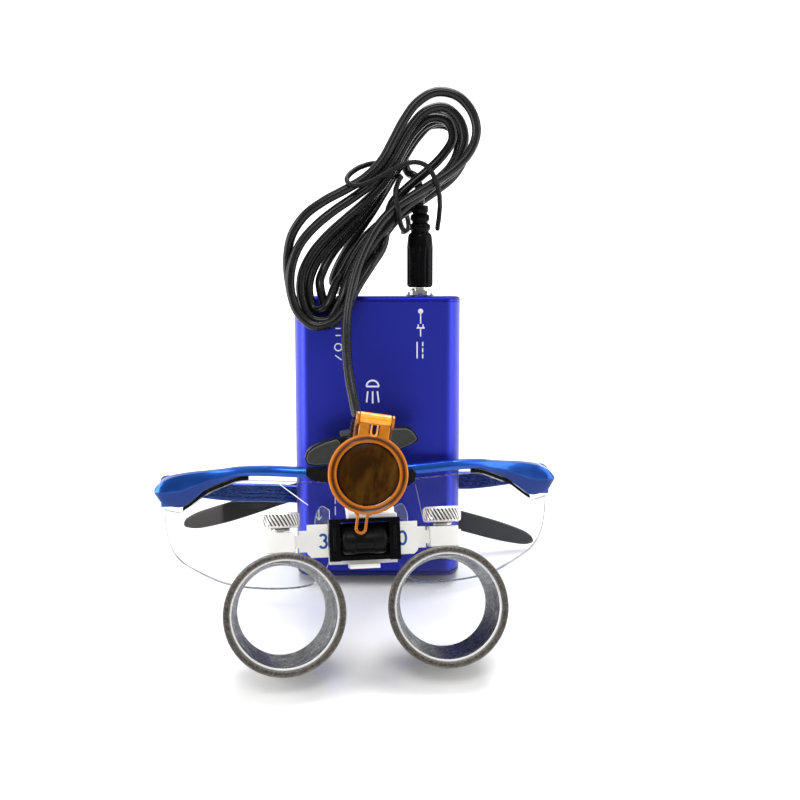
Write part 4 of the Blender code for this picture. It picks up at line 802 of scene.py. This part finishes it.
def build_lens():
    half = sorted(set([x for x, _ in EDGE_FINE] + [9.3, 9.7, 28.5, 31, 36.5, 39, 41.5, 46.5, 49]))
    xs = [-x for x in half[:0:-1]] + half
    rows = 12
    bm = bmesh.new()
    front, back, edges = [], [], []
    for x in xs:
        y, _, low, _ = between(BROW_FINE, x)
        top = -9.7 if abs(x) < 9.5 else low - 2.0
        bottom = between(EDGE_FINE, abs(x))[0]
        cols = [(x, y + 0.9 + LENS_RAKE * (top + (bottom - top) * r / rows + 9),
            top + (bottom - top) * r / rows) for r in range(rows + 1)]
        if abs(x) > 44:
            edges.append(cols)
        front.append([bm.verts.new(p) for p in cols])
        back.append([bm.verts.new((p[0], p[1] + LENS_T, p[2])) for p in cols])
    for grid in (front, back):
        for a, b in zip(grid, grid[1:]):
            for r in range(rows):
                bm.faces.new((a[r], a[r + 1], b[r + 1], b[r]))
    rim = []
    for i in range(len(xs) - 1):
        for r in (0, rows):
            rim.append(bm.faces.new((front[i][r], front[i + 1][r], back[i + 1][r], back[i][r])))
    for i in (0, -1):
        for r in range(rows):
            rim.append(bm.faces.new((front[i][r], front[i][r + 1], back[i][r + 1], back[i][r])))
    for face in rim:
        face.material_index = 1
    lens = piece("lens", bm, "lens", "lens_shield", SPECS, angle=40)
    lens.data.materials.append(M["rim"])
    for name, (x0, z0), (x1, z1), width, look in GLINTS:
        line = []
        for k in range(7):
            x, z = x0 + (x1 - x0) * k / 6, z0 + (z1 - z0) * k / 6
            line.append((x, between(BROW_FINE, x)[0] + 0.85 + LENS_RAKE * (z + 9), z))
        piece(name, sweep(line, width, 8), look, "lens_shield", SPECS, angle=60)
    for side, tag in SIDES:
        outer = [cols for cols in edges if cols[0][0] * side > 0]
        outer.sort(key=lambda cols: -abs(cols[0][0]))
        line = [(p[0], p[1] + LENS_T / 2, p[2]) for p in outer[0] + [cols[-1] for cols in outer[1:]]]
        # Painted edge shade: a thin grey line inside the clear lens along its outer edge.
        piece("lens_edge_" + tag, sweep(line, 0.15, 8), "edge_line", "lens_shield", SPECS, angle=60)
        sections = []
        for k in range(26):
            x = 41.5 + (66.5 - 41.5) * k / 25
            y, _, low, _ = between(BROW_FINE, x)
            sections.append([(side * x, y + a, low + b)
                for a, b in ((0.2, -0.35), (0.2, -1.2), (0.45, -1.4), (2.45, -1.4), (2.7, -1.2), (2.7, -0.35),
                (2.45, -0.2), (0.45, -0.2))])
        piece("lining_" + tag, loft(sections), "gloss_black", "brow_lining_" + tag, SPECS, angle=50)
        rows2 = spline([(0, -14), (3.0, -12.5), (5.2, -16), (5.6, -21), (4.2, -25.5), (1.6, -26), (0.2, -21),
            (0, -14)], 5)[:-1]
        pad = loft([[(side * (12.0 + 2.8 + (a - 2.8) * k), 5.6 + 0.22 * a + d, -19.3 + (z + 19.3) * k)
            for a, z in rows2] for d, k in ((0.0, 0.82), (0.12, 0.93), (0.45, 1.0), (1.15, 1.0), (1.48, 0.93),
            (1.6, 0.82))])
        piece("nose_rest_" + tag, pad, "silicone", "nose_pad_" + tag, SPECS, angle=60)


TEMPLES = {"left": ([(-71.4, 26.0, -8.7, 4.2), (-68.5, 29.3, -9.6, 5.2), (-62, 33.6, -12.0, 7.0),
    (-50, 38.4, -15.3, 7.2), (-36, 42.0, -17.2, 7.2), (-24, 43.3, -18.6, 7.2), (-10, 42.4, -19.9, 7.2),
    (5, 40.6, -21.6, 7.4), (18, 38.8, -24.0, 7.6), (28, 37.8, -26.4, 8.0), (36, 37.0, -28.6, 8.4),
    (45, 36.2, -30.9, 8.6), (56, 35.5, -34.2, 8.4), (64, 35.2, -36.6, 7.4), (70, 35.0, -38.4, 5.6),
    (73.4, 35.0, -39.4, 2.4)], 8), "right": ([(71.4, 26.0, -8.7, 4.2), (68.5, 29.8, -9.5, 5.2),
    (62, 35.0, -11.6, 7.0), (50, 40.5, -14.4, 7.2), (40, 43.2, -15.0, 7.2), (25, 45.6, -15.5, 7.2),
    (8, 47.5, -16.0, 7.2), (-8, 49.0, -17.2, 7.2), (-20, 50.6, -19.2, 7.4), (-30, 52.2, -22.0, 7.8),
    (-38, 53.6, -24.8, 8.2), (-50, 55.6, -28.8, 8.6), (-60, 57.2, -31.8, 8.0), (-66, 58.1, -33.4, 6.6),
    (-70.4, 58.7, -34.4, 3.0)], 7)}
ARM_T = 2.8
RIDGES = [(1.0, -0.80), (1.0, -0.50), (0.72, -0.44), (0.72, -0.40), (1.0, -0.34), (1.0, -0.08), (0.72, -0.02)]
ARM_SIDE = [(0.55, -1.0), (0.85, -0.93)] + RIDGES + [(a, -v) for a, v in reversed(RIDGES)] + [(0.85, 0.93),
    (0.55, 1.0)]
ARM_RING = ARM_SIDE + [(-a, v) for a, v in reversed(ARM_SIDE)]
TIP_RING = [(math.copysign(abs(math.cos(t)) ** 0.62, math.cos(t)), math.copysign(abs(math.sin(t)) ** 0.8,
    math.sin(t))) for t in (2 * math.pi * k / 28 for k in range(28))]
TIP_LOOK = {"left": "tip", "right": "tip_smoked"}


def strip(rows, ring):
    """Sections of a flat arm along rows of x, y, z, height."""
    out = []
    for i, (x, y, z, tall) in enumerate(rows):
        a, b = rows[max(i - 1, 0)], rows[min(i + 1, len(rows) - 1)]
        along = Vector((b[0] - a[0], b[1] - a[1], 0)).normalized()
        outward = Vector((along.y, -along.x, 0)) * ARM_T / 2
        out.append([Vector((x, y, z)) + outward * o + Vector((0, 0, tall / 2 * v)) for o, v in ring])
    return out


def build_temples():
    for tag, (rows, split) in TEMPLES.items():
        fine = spline(rows, 6)
        cut = split * 6
        piece("arm_" + tag, loft(strip(fine[:cut + 1], ARM_RING)), "arm", "temple_" + tag, SPECS, angle=28)
        knuckle = combined(rod(2.3, -2.45, 2.45, edge=0.25), hole(1.15, -5, 5))
        piece("arm_knuckle_" + tag, knuckle, "frame", "temple_" + tag, HINGE[tag])
        tip_rows = list(fine[cut:])
        a, b = Vector(tip_rows[0][:3]), Vector(tip_rows[1][:3])
        start = a + (b - a).normalized() * 0.25
        tip_rows[0] = (*start, tip_rows[0][3])
        before, last = tip_rows[-3], tip_rows.pop()
        run = (Vector(last[:3]) - Vector(before[:3])).normalized()
        for reach, grow in ((-0.9, 1.35), (-0.35, 1.0), (0.0, 0.6)):
            p = Vector(last[:3]) + run * reach
            tip_rows.append((*p, last[3] * grow))
        piece("ear_tip_" + tag, loft(strip(tip_rows, TIP_RING)), TIP_LOOK[tag], "temple_tip_" + tag, SPECS,
            angle=50)


# ---------------------------------------------------------------- flip-up magnifiers
HOLDER_X = 27.0


def slotted(head_r, top, low, shank_r, end, axis, at, out=1):
    """A small screw with a cross slot in its head; out is the way the head faces."""
    profile = [(0, top), (head_r - 0.25, top), (head_r, top - out * 0.25), (head_r, low), (shank_r, low),
        (shank_r, end), (0, end)]
    body = lathe(profile, axis, at, 40)
    e1, e2, e3 = LINES[axis]
    cutters = []
    for long_way, short_way in ((e1, e2), (e2, e1)):
        bm = block(-1, 1, -1, 1, -1, 1)
        for v in bm.verts:
            c = v.co.copy()
            v.co = Vector(at) + long_way * (c.x * head_r * 0.62) + short_way * (c.y * 0.22) + e3 * (top + c.z
                * 0.55)
        cutters.append(("cut", bm))
    return combined(body, *cutters)


def build_bracket():
    side_view = [(-35.5, -3.35), (-28.4, -5.75), (-24, -4.6), (-3.4, -4.2), (-3.4, -9.2), (-0.9, -9.2),
        (-0.9, -1.7), (-24.5, -2.2), (-27.8, -3.95), (-34.9, -2.0)]
    piece("bridge_arm", prism(side_view, -8.2, 8.2, "x"), "white", "bridge_bracket", SPECS, round_off=0.4)
    rib = prism([(-24, -2.3), (-3.0, -1.9), (-1.6, -1.2), (-22, -1.5)], -0.8, 0.8, "x")
    piece("bridge_rib", rib, "white", "bridge_bracket", SPECS, round_off=0.3)
    for k, x in ((1, -5), (2, 5)):
        screw = slotted(1.6, -4.6, -3.5, 0.75, 1.8, "y", (x, 0, -6.4), -1)
        piece("bridge_screw_%d" % k, screw, "steel", "bracket_screw_%d" % k, SPECS)
    screw = slotted(2.0, 10.3, 9.15, 0.85, 5.8, "z", (0, 9.0, 0))
    piece("yoke_fixing", screw, "steel", "yoke_screw", FLIP)


def build_yoke():
    cheek = [(-4, -6.6), (-2, -6.0), (0, -5.05), (2.5, -4.4), (4.25, -2.65), (4.75, 0), (4.75, 5.7),
        (4.75, 6.75), (-4, 6.75)]
    yoke = combined(prism(cheek, -11.5, -8.0, "x"), prism(cheek, 8.0, 11.5, "x"),
        block(-11.35, 11.35, -3.8, 12.5, 5.65, 6.9),
        prism([(-3.9, -6.45), (-2.5, -6.05), (-2.5, -5.1), (-3.9, -5.1)], -9, 9, "x"),
        hole(1.45, -13, 13, "x"), hole(1.05, 4, 12, at=(0, 9.0, 0)))
    piece("yoke", yoke, "gloss_black", "flip_yoke", FLIP, round_off=0.28)
    bars = [block(s * 9.75 - 0.5, s * 9.75 + 0.5, -4.35, -3.7, -3.2, 4.2) for s in (-1, 1)]
    piece("yoke_ribs", merged(*bars), "black", "flip_yoke", FLIP, round_off=0.2)
    piece("yoke_pin", rod(1.3, -11.3, 11.3, "x", edge=0.25), "dark_jaw", "flip_pin", FLIP)


def build_carriage():
    drum = [(1.5, -7.4), (3.1, -7.4), (3.9, -7.1), (4.45, -6.4), (4.6, -5.6), (4.6, -3.1), (4.35, -2.9),
        (4.35, 2.9), (4.6, 3.1), (4.6, 5.6), (4.45, 6.4), (3.9, 7.1), (3.1, 7.4), (1.5, 7.4)]
    piece("drum", lathe(drum, "x"), "black", "flip_drum", FLIP, angle=30)
    piece("drum_web", block(-7.0, 7.0, 3.6, 5.1, -2.4, 2.4), "black", "flip_drum", FLIP, round_off=0.3)
    piece("drum_key", block(-2.4, 2.4, -4.62, -3.6, -2.6, -0.9), "dark_jaw", "flip_drum", FLIP,
        round_off=0.25)
    half = [(18.3, 5.4), (18.3, 3.5), (21.0, 3.5), (21.0, 2.1), (33.0, 2.1), (33.0, -2.1), (21.0, -2.1),
        (21.0, -3.5), (18.3, -3.5), (18.3, -4.1), (17.0, -5.4)]
    outline = half + [(-x, z) for x, z in half[::-1]]
    bar = combined(prism(outline, 5.2, 8.8, "y"), block(-11.3, 11.3, 5.4, 8.6, -7.9, -5.0),
        block(-4.9, 4.9, -1.2, 8.5, -9.2, -7.75))
    piece("scale_bar", bar, "white", "crossbar", FLIP, round_off=0.35)
    # Painted shade: a thin black plate over the white crossbar's face inside the yoke's window, where the bar
    # lies in shadow.
    piece("bar_shade_plate", block(-8.6, 8.6, 4.95, 5.3, -6.2, 5.5), "gloss_black", "crossbar", FLIP,
        round_off=0.1)
    three = arc(-13.15, 1.03, 1.03, 155, -80, 18) + arc(-13.15, -1.02, 1.18, 80, -155, 20)
    nought = [(13.15 + 1.22 * math.cos(t), 2.1 * math.sin(t))
        for t in (2 * math.pi * k / 36 for k in range(37))]
    digits = merged(stroke(three, 0.82), stroke(nought, 0.82))
    for v in digits.verts:
        v.co.y += 5.2
    piece("scale_digits", digits, "digit", None, FLIP, angle=20, body="carriage")

    def knurl(ang, radius, height):
        if radius < 6.0 or not 5.35 < height < 9.2:
            return radius
        wave = math.cos(30 * (ang + 0.10 * (height - 7.3)))
        return radius - 0.20 + 0.28 * max(-0.75, wave)

    swell = [(6.25 + 0.12 * math.sin(math.pi * (h - 5.2) / 4.2), h)
        for h in [5.25 + 0.25 * k for k in range(17)]]
    knob = [(0, 2.45), (1.15, 2.45), (1.15, 3.6), (2.9, 3.6), (3.1, 3.75), (3.1, 4.55), (3.3, 4.7),
        (5.4, 4.7), (5.95, 4.95)] + swell + [(5.95, 9.6), (5.5, 9.9), (3.2, 9.9), (3.0, 9.6), (0, 9.6)]
    for side, tag in SIDES:
        x = side * HOLDER_X
        slider = combined(block(x - 4.85, x + 4.85, 3.3, 10.7, -3.4, 3.4),
            ("cut", block(x - 6, x + 6, 5.0, 9.0, -2.3, 2.3)), hole(1.35, 1, 5, at=(x, 7, 0)))
        piece("holder_" + tag, slider, "white", "pd_slider_" + tag, FLIP, round_off=0.4)
        piece("knob_" + tag, lathe(knob, at=(x, 7, 0), sides=240, shape=knurl), "knurl", "thumb_screw_" + tag,
            FLIP, angle=30)


EYE_R, APERTURE = 16.0, 14.6


def skin_radius(y):
    """The barrel's outer radius, which tapers toward the eye."""
    return 19.2 - (19.2 - EYE_R) * (y + 4.5) / 17.5


def build_barrels():
    steps = 14
    cone = []
    for k in range(steps + 1):
        y = 8.6 - (8.6 + 5.0) * k / steps
        r = APERTURE + (16.9 - APERTURE) * k / steps
        cone += [(r, y), (r + 0.10, y - 0.30), (r + 0.10, y - 0.62)]
    cone = cone[:-2]
    taper = [(skin_radius(y), y) for y in (-4.5, 0, 5, 10)]
    body = [(19.0, -8.1), (19.2, -7.9)] + taper + [(EYE_R, 12.6), (EYE_R - 0.3, 13.0), (15.2, 13.0),
        (15.1, 9.8), (APERTURE, 9.8)] + cone + [(17.9, -5.0), (17.9, -8.1)]
    bezel = [(17.35, -8.35), (17.35, -9.95), (17.55, -10.3), (18.0, -10.4), (18.9, -10.4), (19.25, -10.25),
        (19.4, -9.95), (19.4, -9.5), (19.25, -9.35), (19.4, -9.2), (19.4, -8.35)]
    ring = [(16.72, -8.4), (16.72, -9.55), (16.85, -9.75), (17.15, -9.75), (17.3, -9.6), (17.3, -8.4)]
    front = [(0, -9.4)] + [(r, -9.4 + 1.25 * (r / 16.3) ** 2)
        for r in (3, 6, 9, 12, 14.5, 16.2)] + [(17.6, -7.8), (17.6, -5.3), (0, -5.3)]
    rear = [(0, 10.6)] + [(r, 10.6 - 0.6 * (r / 14.6) ** 2) for r in (3, 6, 9, 12, 14.4)] + [(14.9, 10.05),
        (14.9, 12.4), (0, 12.4)]
    for side, tag in SIDES:
        shell = piece("barrel_shell_" + tag, lathe(body, "y", sides=128), "skin", "barrel_" + tag, AXIS[tag],
            angle=24)
        shell.data.materials.append(M["wall"])
        for poly in shell.data.polygons:
            reach = math.hypot(poly.center.x, poly.center.z)
            y = poly.center.y / MM
            if y < 12.9 and reach / MM < min(skin_radius(y) - 0.8, 18.2):
                poly.material_index = 1
        x = side * HOLDER_X
        piece("barrel_post_" + tag, block(x - 3, x + 3, 4.6, 9.4, -6.9, -3.6), "skin", "barrel_" + tag, FLIP,
            round_off=0.3)
        piece("bezel_band_" + tag, lathe(bezel, "y", sides=128), "band", "bezel_" + tag, AXIS[tag], angle=30)
        piece("lens_ring_" + tag, lathe(ring, "y", sides=128), "bright_line", "bezel_" + tag, AXIS[tag],
            angle=30)
        piece("objective_" + tag, lathe(front, "y", sides=96), "optic", "front_lens_" + tag, AXIS[tag],
            angle=40)
        piece("eyepiece_" + tag, lathe(rear, "y", sides=96), "optic", "rear_lens_" + tag, AXIS[tag], angle=40)


# ---------------------------------------------------------------- headlight
TILT_AXLE, VISOR_AXLE, CLIP_AXLE = (0, 19.2, 2.0), (0, 0, 17.8), (0, 2.8, 1.0)


def build_lamp():
    fins = []
    for k in range(5):
        y = 14.6 - 1.45 * k
        fins += [(10.3, y), (10.3, y - 0.75), (9.75, y - 0.8), (9.75, y - 1.4)]
    shell = [(0, 17.0), (6.5, 17.0), (8.4, 16.9), (9.6, 16.2), (10.2, 15.4)] + fins + [(10.3, 7.3),
        (10.3, 3.1), (10.1, 2.7), (9.4, 2.6), (9.2, 2.8), (9.2, 14.9), (0, 14.9)]
    piece("lamp_body", lathe(shell, "y", sides=96), "alloy", "lamp_housing", LAMP, angle=30)
    ear = [(2.6, 8.2), (7.0, 8.2), (7.0, 18.4), (5.6, 19.6), (-1.0, 19.6), (-2.0, 18.7), (-2.0, 15.9),
        (2.6, 14.6)]
    top = combined(prism(ear, -6.1, -5.3, "x"), prism(ear, 5.3, 6.1, "x"),
        block(-6.05, 6.05, 4.4, 6.8, 9.6, 11.6), hole(1.0, -9, 9, "x", VISOR_AXLE))
    piece("lamp_ears", top, "orange_neck", "lamp_housing", LAMP, round_off=0.3)
    swivel = combined(rod(1.9, -2.4, 2.4, "x", TILT_AXLE, edge=0.2), block(-2.3, 2.3, 16.2, 19.2, 0.4, 3.6),
        hole(1.05, -4, 4, "x", TILT_AXLE))
    piece("lamp_swivel", swivel, "alloy", "lamp_housing", LAMP, round_off=0.15)
    piece("lamp_window", lathe([(0, 3.0), (3, 3.05), (6, 3.3), (9.0, 4.0), (9.0, 5.4), (0, 5.4)], "y"),
        "optic", "lamp_lens", LAMP)
    bowl = [(1.9, 12.4)] + [(1.9 + 6.9 * t, 12.4 - 6.2 * t ** 1.6)
        for t in (0.15, 0.3, 0.45, 0.6, 0.75, 0.9, 1.0)]
    bowl = bowl + [(r + 0.15, y + 0.25) for r, y in reversed(bowl)]
    piece("lamp_reflector", lathe(bowl, "y"), "nickel", "led_module", LAMP)
    piece("lamp_emitter", merged(block(-1.3, 1.3, 11.5, 12.9, -1.3, 1.3), rod(9.0, 13.0, 14.5, "y")), "led",
        "led_module", LAMP, round_off=0.1)
    piece("visor_pin", rod(0.85, -6.2, 6.2, "x", VISOR_AXLE, edge=0.15), "hinge_orange", "filter_pin", LAMP)
    low, high = Vector((-5.5, 13.9, 9.75)), Vector((-5.2, 14.5, 17.6))
    rings = []
    for k in range(25):
        t = k / 24
        wave = 1.9 if (k // 2) % 2 == 0 else 1.62
        c = low.lerp(high, t)
        r = wave * (1 - 0.06 * t) if 0 < k < 24 else 1.5
        rings.append([c + Vector((math.cos(a), math.sin(a), 0)) * r
            for a in (2 * math.pi * j / 32 for j in range(32))])
    piece("cable_boot", loft(rings), "gloss_black", "cable_relief", LAMP, angle=35)
    hoop = [(10.2, -1.0), (10.45, -1.45), (10.9, -1.5), (11.5, -1.25), (12.1, -1.5), (12.6, -1.4),
        (12.9, -0.9), (12.9, 1.1), (12.7, 1.5), (12.3, 1.6), (10.6, 1.6), (10.4, 1.4), (10.4, 0.3),
        (10.2, 0.2)]
    hinge = combined(rod(1.95, -5.15, 5.15, "x", VISOR_AXLE, edge=0.3),
        block(-5.1, 5.1, -0.6, 1.7, 16.1, 19.3), hole(1.0, -7, 7, "x", VISOR_AXLE))
    arms = [block(-5.0, -1.6, -1.25, 1.25, 11.6, 16.6), block(1.6, 5.0, -1.25, 1.25, 11.6, 16.6)]
    bend = [(0.95 * math.cos(a), -1.3, 13.2 + 0.95 * math.sin(a))
        for a in (math.pi * k / 6 + math.pi for k in range(1, 6))]
    keyhole = sweep([(-0.95, -1.3, 16.0), (-0.95, -1.3, 13.2)] + bend
        + [(0.95, -1.3, 13.2), (0.95, -1.3, 16.0)], 0.32, 10)
    piece("visor_hoop", lathe(hoop, "y", sides=128), "orange", "filter_frame", LAMP, angle=28)
    piece("visor_hinge", hinge, "hinge_orange", "filter_frame", LAMP, round_off=0.35)
    piece("visor_arms", merged(*arms), "orange_neck", "filter_frame", LAMP, round_off=0.35)
    piece("visor_keyhole", keyhole, "hinge_orange", "filter_frame", LAMP, angle=60)
    bend = [(-1.5 * math.cos(a), -0.2, -17.4 - 1.4 * math.sin(a))
        for a in (math.pi * k / 8 for k in range(1, 8))]
    tab = ([(-2.6, -0.2, -12.3), (-1.75, -0.2, -13.1), (-1.5, -0.2, -14.0), (-1.5, -0.2, -17.4)] + bend
        + [(1.5, -0.2, -17.4), (1.5, -0.2, -14.0), (1.75, -0.2, -13.1), (2.6, -0.2, -12.3)])
    piece("visor_tab", sweep(spline(tab, 3), 0.5, 12), "orange", "filter_frame", LAMP, angle=60)
    glass = [(0, -0.75)] + [(r, -0.75 + 0.5 * (r / 10.15) ** 2) for r in (2, 4, 6, 8, 9.6)] + [(10.1, -0.1),
        (10.1, 1.1), (9.9, 1.4), (0, 1.4)]
    piece("visor_glass", lathe(glass, "y", sides=96), "amber", "filter_disc", LAMP, angle=40)


def build_clip():
    lower = [(-8.4, -2.4), (-16.0, -1.4), (-20.0, -0.9), (-20.5, -3.3), (-18.7, -5.2)]
    teeth = [(-18.4 + k * 1.0, -5.3 - 0.3 * k - (0.7 if k % 2 else 0.0)) for k in range(1, 8)]
    under = [(-10.2, -8.2), (8.0, -8.2), (13.0, -13.6), (15.5, -13.8), (17.9, -12.4), (18.9, -9.9),
        (17.8, -8.3), (15.1, -6.9), (12.0, -5.0), (8.4, -3.2), (8.6, -0.4)]
    right = [(9.9, 0.2), (14.6, 0.2), (18.8, 1.2), (21.1, 2.1), (21.5, 3.3), (20.0, 6.6), (18.3, 8.0),
        (13.3, 8.7), (8.8, 9.2), (6.6, 8.0)]
    left = [(-6.6, 8.0), (-7.8, 8.4), (-12.2, 7.9), (-16.3, 6.8), (-18.7, 5.4), (-19.9, 2.9), (-19.2, 0.6),
        (-16.5, -0.3), (-11.5, -0.9), (-8.4, -1.2)]
    ear = [(-0.6, -1.4), (4.0, -0.9), (5.2, 1.0), (4.0, 3.0), (-0.6, 3.4)]
    jaw = combined(prism(lower + teeth + under + right + left, -3.4, -0.4, "y"), prism(ear, -8.4, -6.2, "x"),
        prism(ear, 6.2, 8.4, "x"), hole(1.05, -10, 10, "x", CLIP_AXLE))
    piece("clip_plate", jaw, "dark_jaw", "clip_front_jaw", CLIP, round_off=0.45, segments=3)
    wings, rims = [], []
    left_wing = [(-19.2, 2.8), (-18.1, 4.9), (-16.0, 6.1), (-12.0, 7.2), (-7.8, 7.7), (-6.8, 6.5),
        (-6.8, 0.4), (-7.8, -0.4), (-11.5, -0.2), (-16.3, 0.4), (-18.6, 1.2)]
    right_wing = [(9.4, 8.2), (13.2, 8.0), (17.8, 7.3), (19.4, 6.1), (20.7, 3.5), (20.2, 2.7), (18.4, 1.9),
        (14.4, 0.9), (9.6, 0.9), (8.8, 2.0), (8.8, 7.4)]
    for pts in (left_wing, right_wing):
        mid_x, mid_z = sum(p[0] for p in pts) / len(pts), sum(p[1] for p in pts) / len(pts)
        wings.append(prism(pts, -3.95, -3.2, "y"))
        rim = [(mid_x + 1.035 * (x - mid_x), mid_z + 1.08 * (z - mid_z)) for x, z in pts]
        rims.append(prism(rim, -3.62, -3.2, "y"))
    piece("clip_wing_rims", merged(*rims), "clip_rim", "clip_front_jaw", CLIP, round_off=0.12)
    piece("clip_wing_pads", merged(*wings), "clip", "clip_front_jaw", CLIP, round_off=0.3)
    arms = []
    for x0, x1 in ((-4.5, -2.8), (2.8, 4.5)):
        arm = [(17.2, 1.4), (17.9, 0.0), (20.7, -0.2), (39.9, 3.2), (39.0, 8.0), (20.4, 4.3), (17.9, 3.8),
            (17.2, 2.6)]
        arms.append(combined(prism(arm, x0, x1, "x"), hole(1.05, -6, 6, "x", TILT_AXLE)))
    piece("tilt_arms", merged(*arms), "clip", "clip_front_jaw", LAMP, round_off=0.25)
    piece("swivel_pin", rod(0.9, -4.4, 4.4, "x", TILT_AXLE, edge=0.15), "steel", "tilt_pin", LAMP)
    piece("clip_axle", rod(0.9, -8.3, 8.3, "x", CLIP_AXLE, edge=0.15), "steel", "clip_pin", CLIP)
    rear = [(6.0, -9.4), (7.4, -9.4), (7.6, -4.0), (5.4, -0.6), (5.2, 2.6), (6.6, 8.2), (5.4, 8.8),
        (2.0, 3.4), (0.9, 1.6), (1.1, 0.0), (4.6, -2.6)]
    back = combined(prism(rear, -5.9, 5.9, "x"), hole(1.05, -8, 8, "x", CLIP_AXLE),
        ("cut", block(-2.6, 2.6, -1, 6.2, -1.4, 3.8)))
    piece("clip_lever", back, "clip", "clip_rear_jaw", CLIP, round_off=0.3)
    coil = [(-2.0 + 4.0 * k / 96, 2.8 + 1.55 * math.cos(2 * math.pi * k / 24),
        1.0 + 1.55 * math.sin(2 * math.pi * k / 24)) for k in range(97)]
    piece("clip_coil", sweep(coil, 0.3, 8), "steel", "clip_spring", CLIP, angle=60)


# ---------------------------------------------------------------- floor, light, camera
def area(name, at, target, size, power):
    light = bpy.data.lights.new(name, "AREA")
    light.shape = "RECTANGLE"
    light.size, light.size_y = size
    light.energy = power
    obj = bpy.data.objects.new(name, light)
    bpy.context.scene.collection.objects.link(obj)
    obj.location = at
    obj.rotation_euler = (Vector(target) - Vector(at)).to_track_quat("-Z", "Y").to_euler()


def build_stage():
    bm = bmesh.new()
    bmesh.ops.create_grid(bm, x_segments=1, y_segments=1, size=6.0)
    mesh = bpy.data.meshes.new("floor")
    bm.to_mesh(mesh)
    bm.free()
    floor = bpy.data.objects.new("floor", mesh)
    bpy.context.scene.collection.objects.link(floor)
    s = Shader("floor_white")
    reach = s.node("VectorMath", s.coord, operation="LENGTH")
    s.set(Base_Color=s.mix(s.noise(3.0), (0.86, 0.86, 0.87), (0.88, 0.88, 0.88)), Roughness=0.15,
        Specular_IOR_Level=0.6, Emission_Color=(1.0, 1.0, 1.0),
        Emission_Strength=s.remap(reach.outputs["Value"], 0.16, 0.55, 0.03, 0.9))
    mesh.materials.append(M["floor_white"])

    world = bpy.data.worlds.new("studio")
    bpy.context.scene.world = world
    world.use_nodes = True
    w = Nodes(world.node_tree)
    w.tree.nodes.clear()
    depth = w.node("SeparateXYZ", w.node("TexCoord").outputs["Generated"]).outputs[1]
    lit = w.node("Background", (1.0, 1.0, 1.0), w.remap(depth, -1.0, 0.1, 0.22, 0.85))
    seen = w.node("Background", (1.0, 1.0, 1.0), 1.05)
    pick = w.node("MixShader", w.node("LightPath").outputs["Is Camera Ray"], lit.outputs[0], seen.outputs[0])
    w.give(w.node("OutputWorld").inputs["Surface"], pick.outputs[0])

    area("key_top", (0.10, 0.35, 0.95), (0.0, 0.0, 0.0), (0.7, 0.5), 9.0)
    area("side_left", (-0.75, -0.15, 0.35), (0.0, 0.0, 0.08), (0.5, 0.7), 5.5)
    area("side_right", (0.75, -0.10, 0.35), (0.0, 0.0, 0.08), (0.4, 0.6), 2.0)
    area("fill_front", (0.0, -0.75, 1.15), (0.0, 0.0, 0.05), (0.6, 0.4), 6.0)

    camera = bpy.data.cameras.new("camera")
    camera.sensor_width = 36.0
    camera.lens = 45.0
    camera.clip_start = 0.01
    eye = bpy.data.objects.new("camera", camera)
    bpy.context.scene.collection.objects.link(eye)
    eye.location = (0.01588, -0.33751, 0.188)
    eye.rotation_euler = (math.radians(72.0), 0.0, 0.0)
    bpy.context.scene.camera = eye
    view = bpy.context.scene.view_settings
    view.view_transform = "Standard"
    view.look = "None"


for build in (build_pack, build_plug, build_cable, build_brow, build_lens, build_temples, build_bracket,
              build_yoke, build_carriage, build_barrels, build_lamp, build_clip, build_stage):
    build()
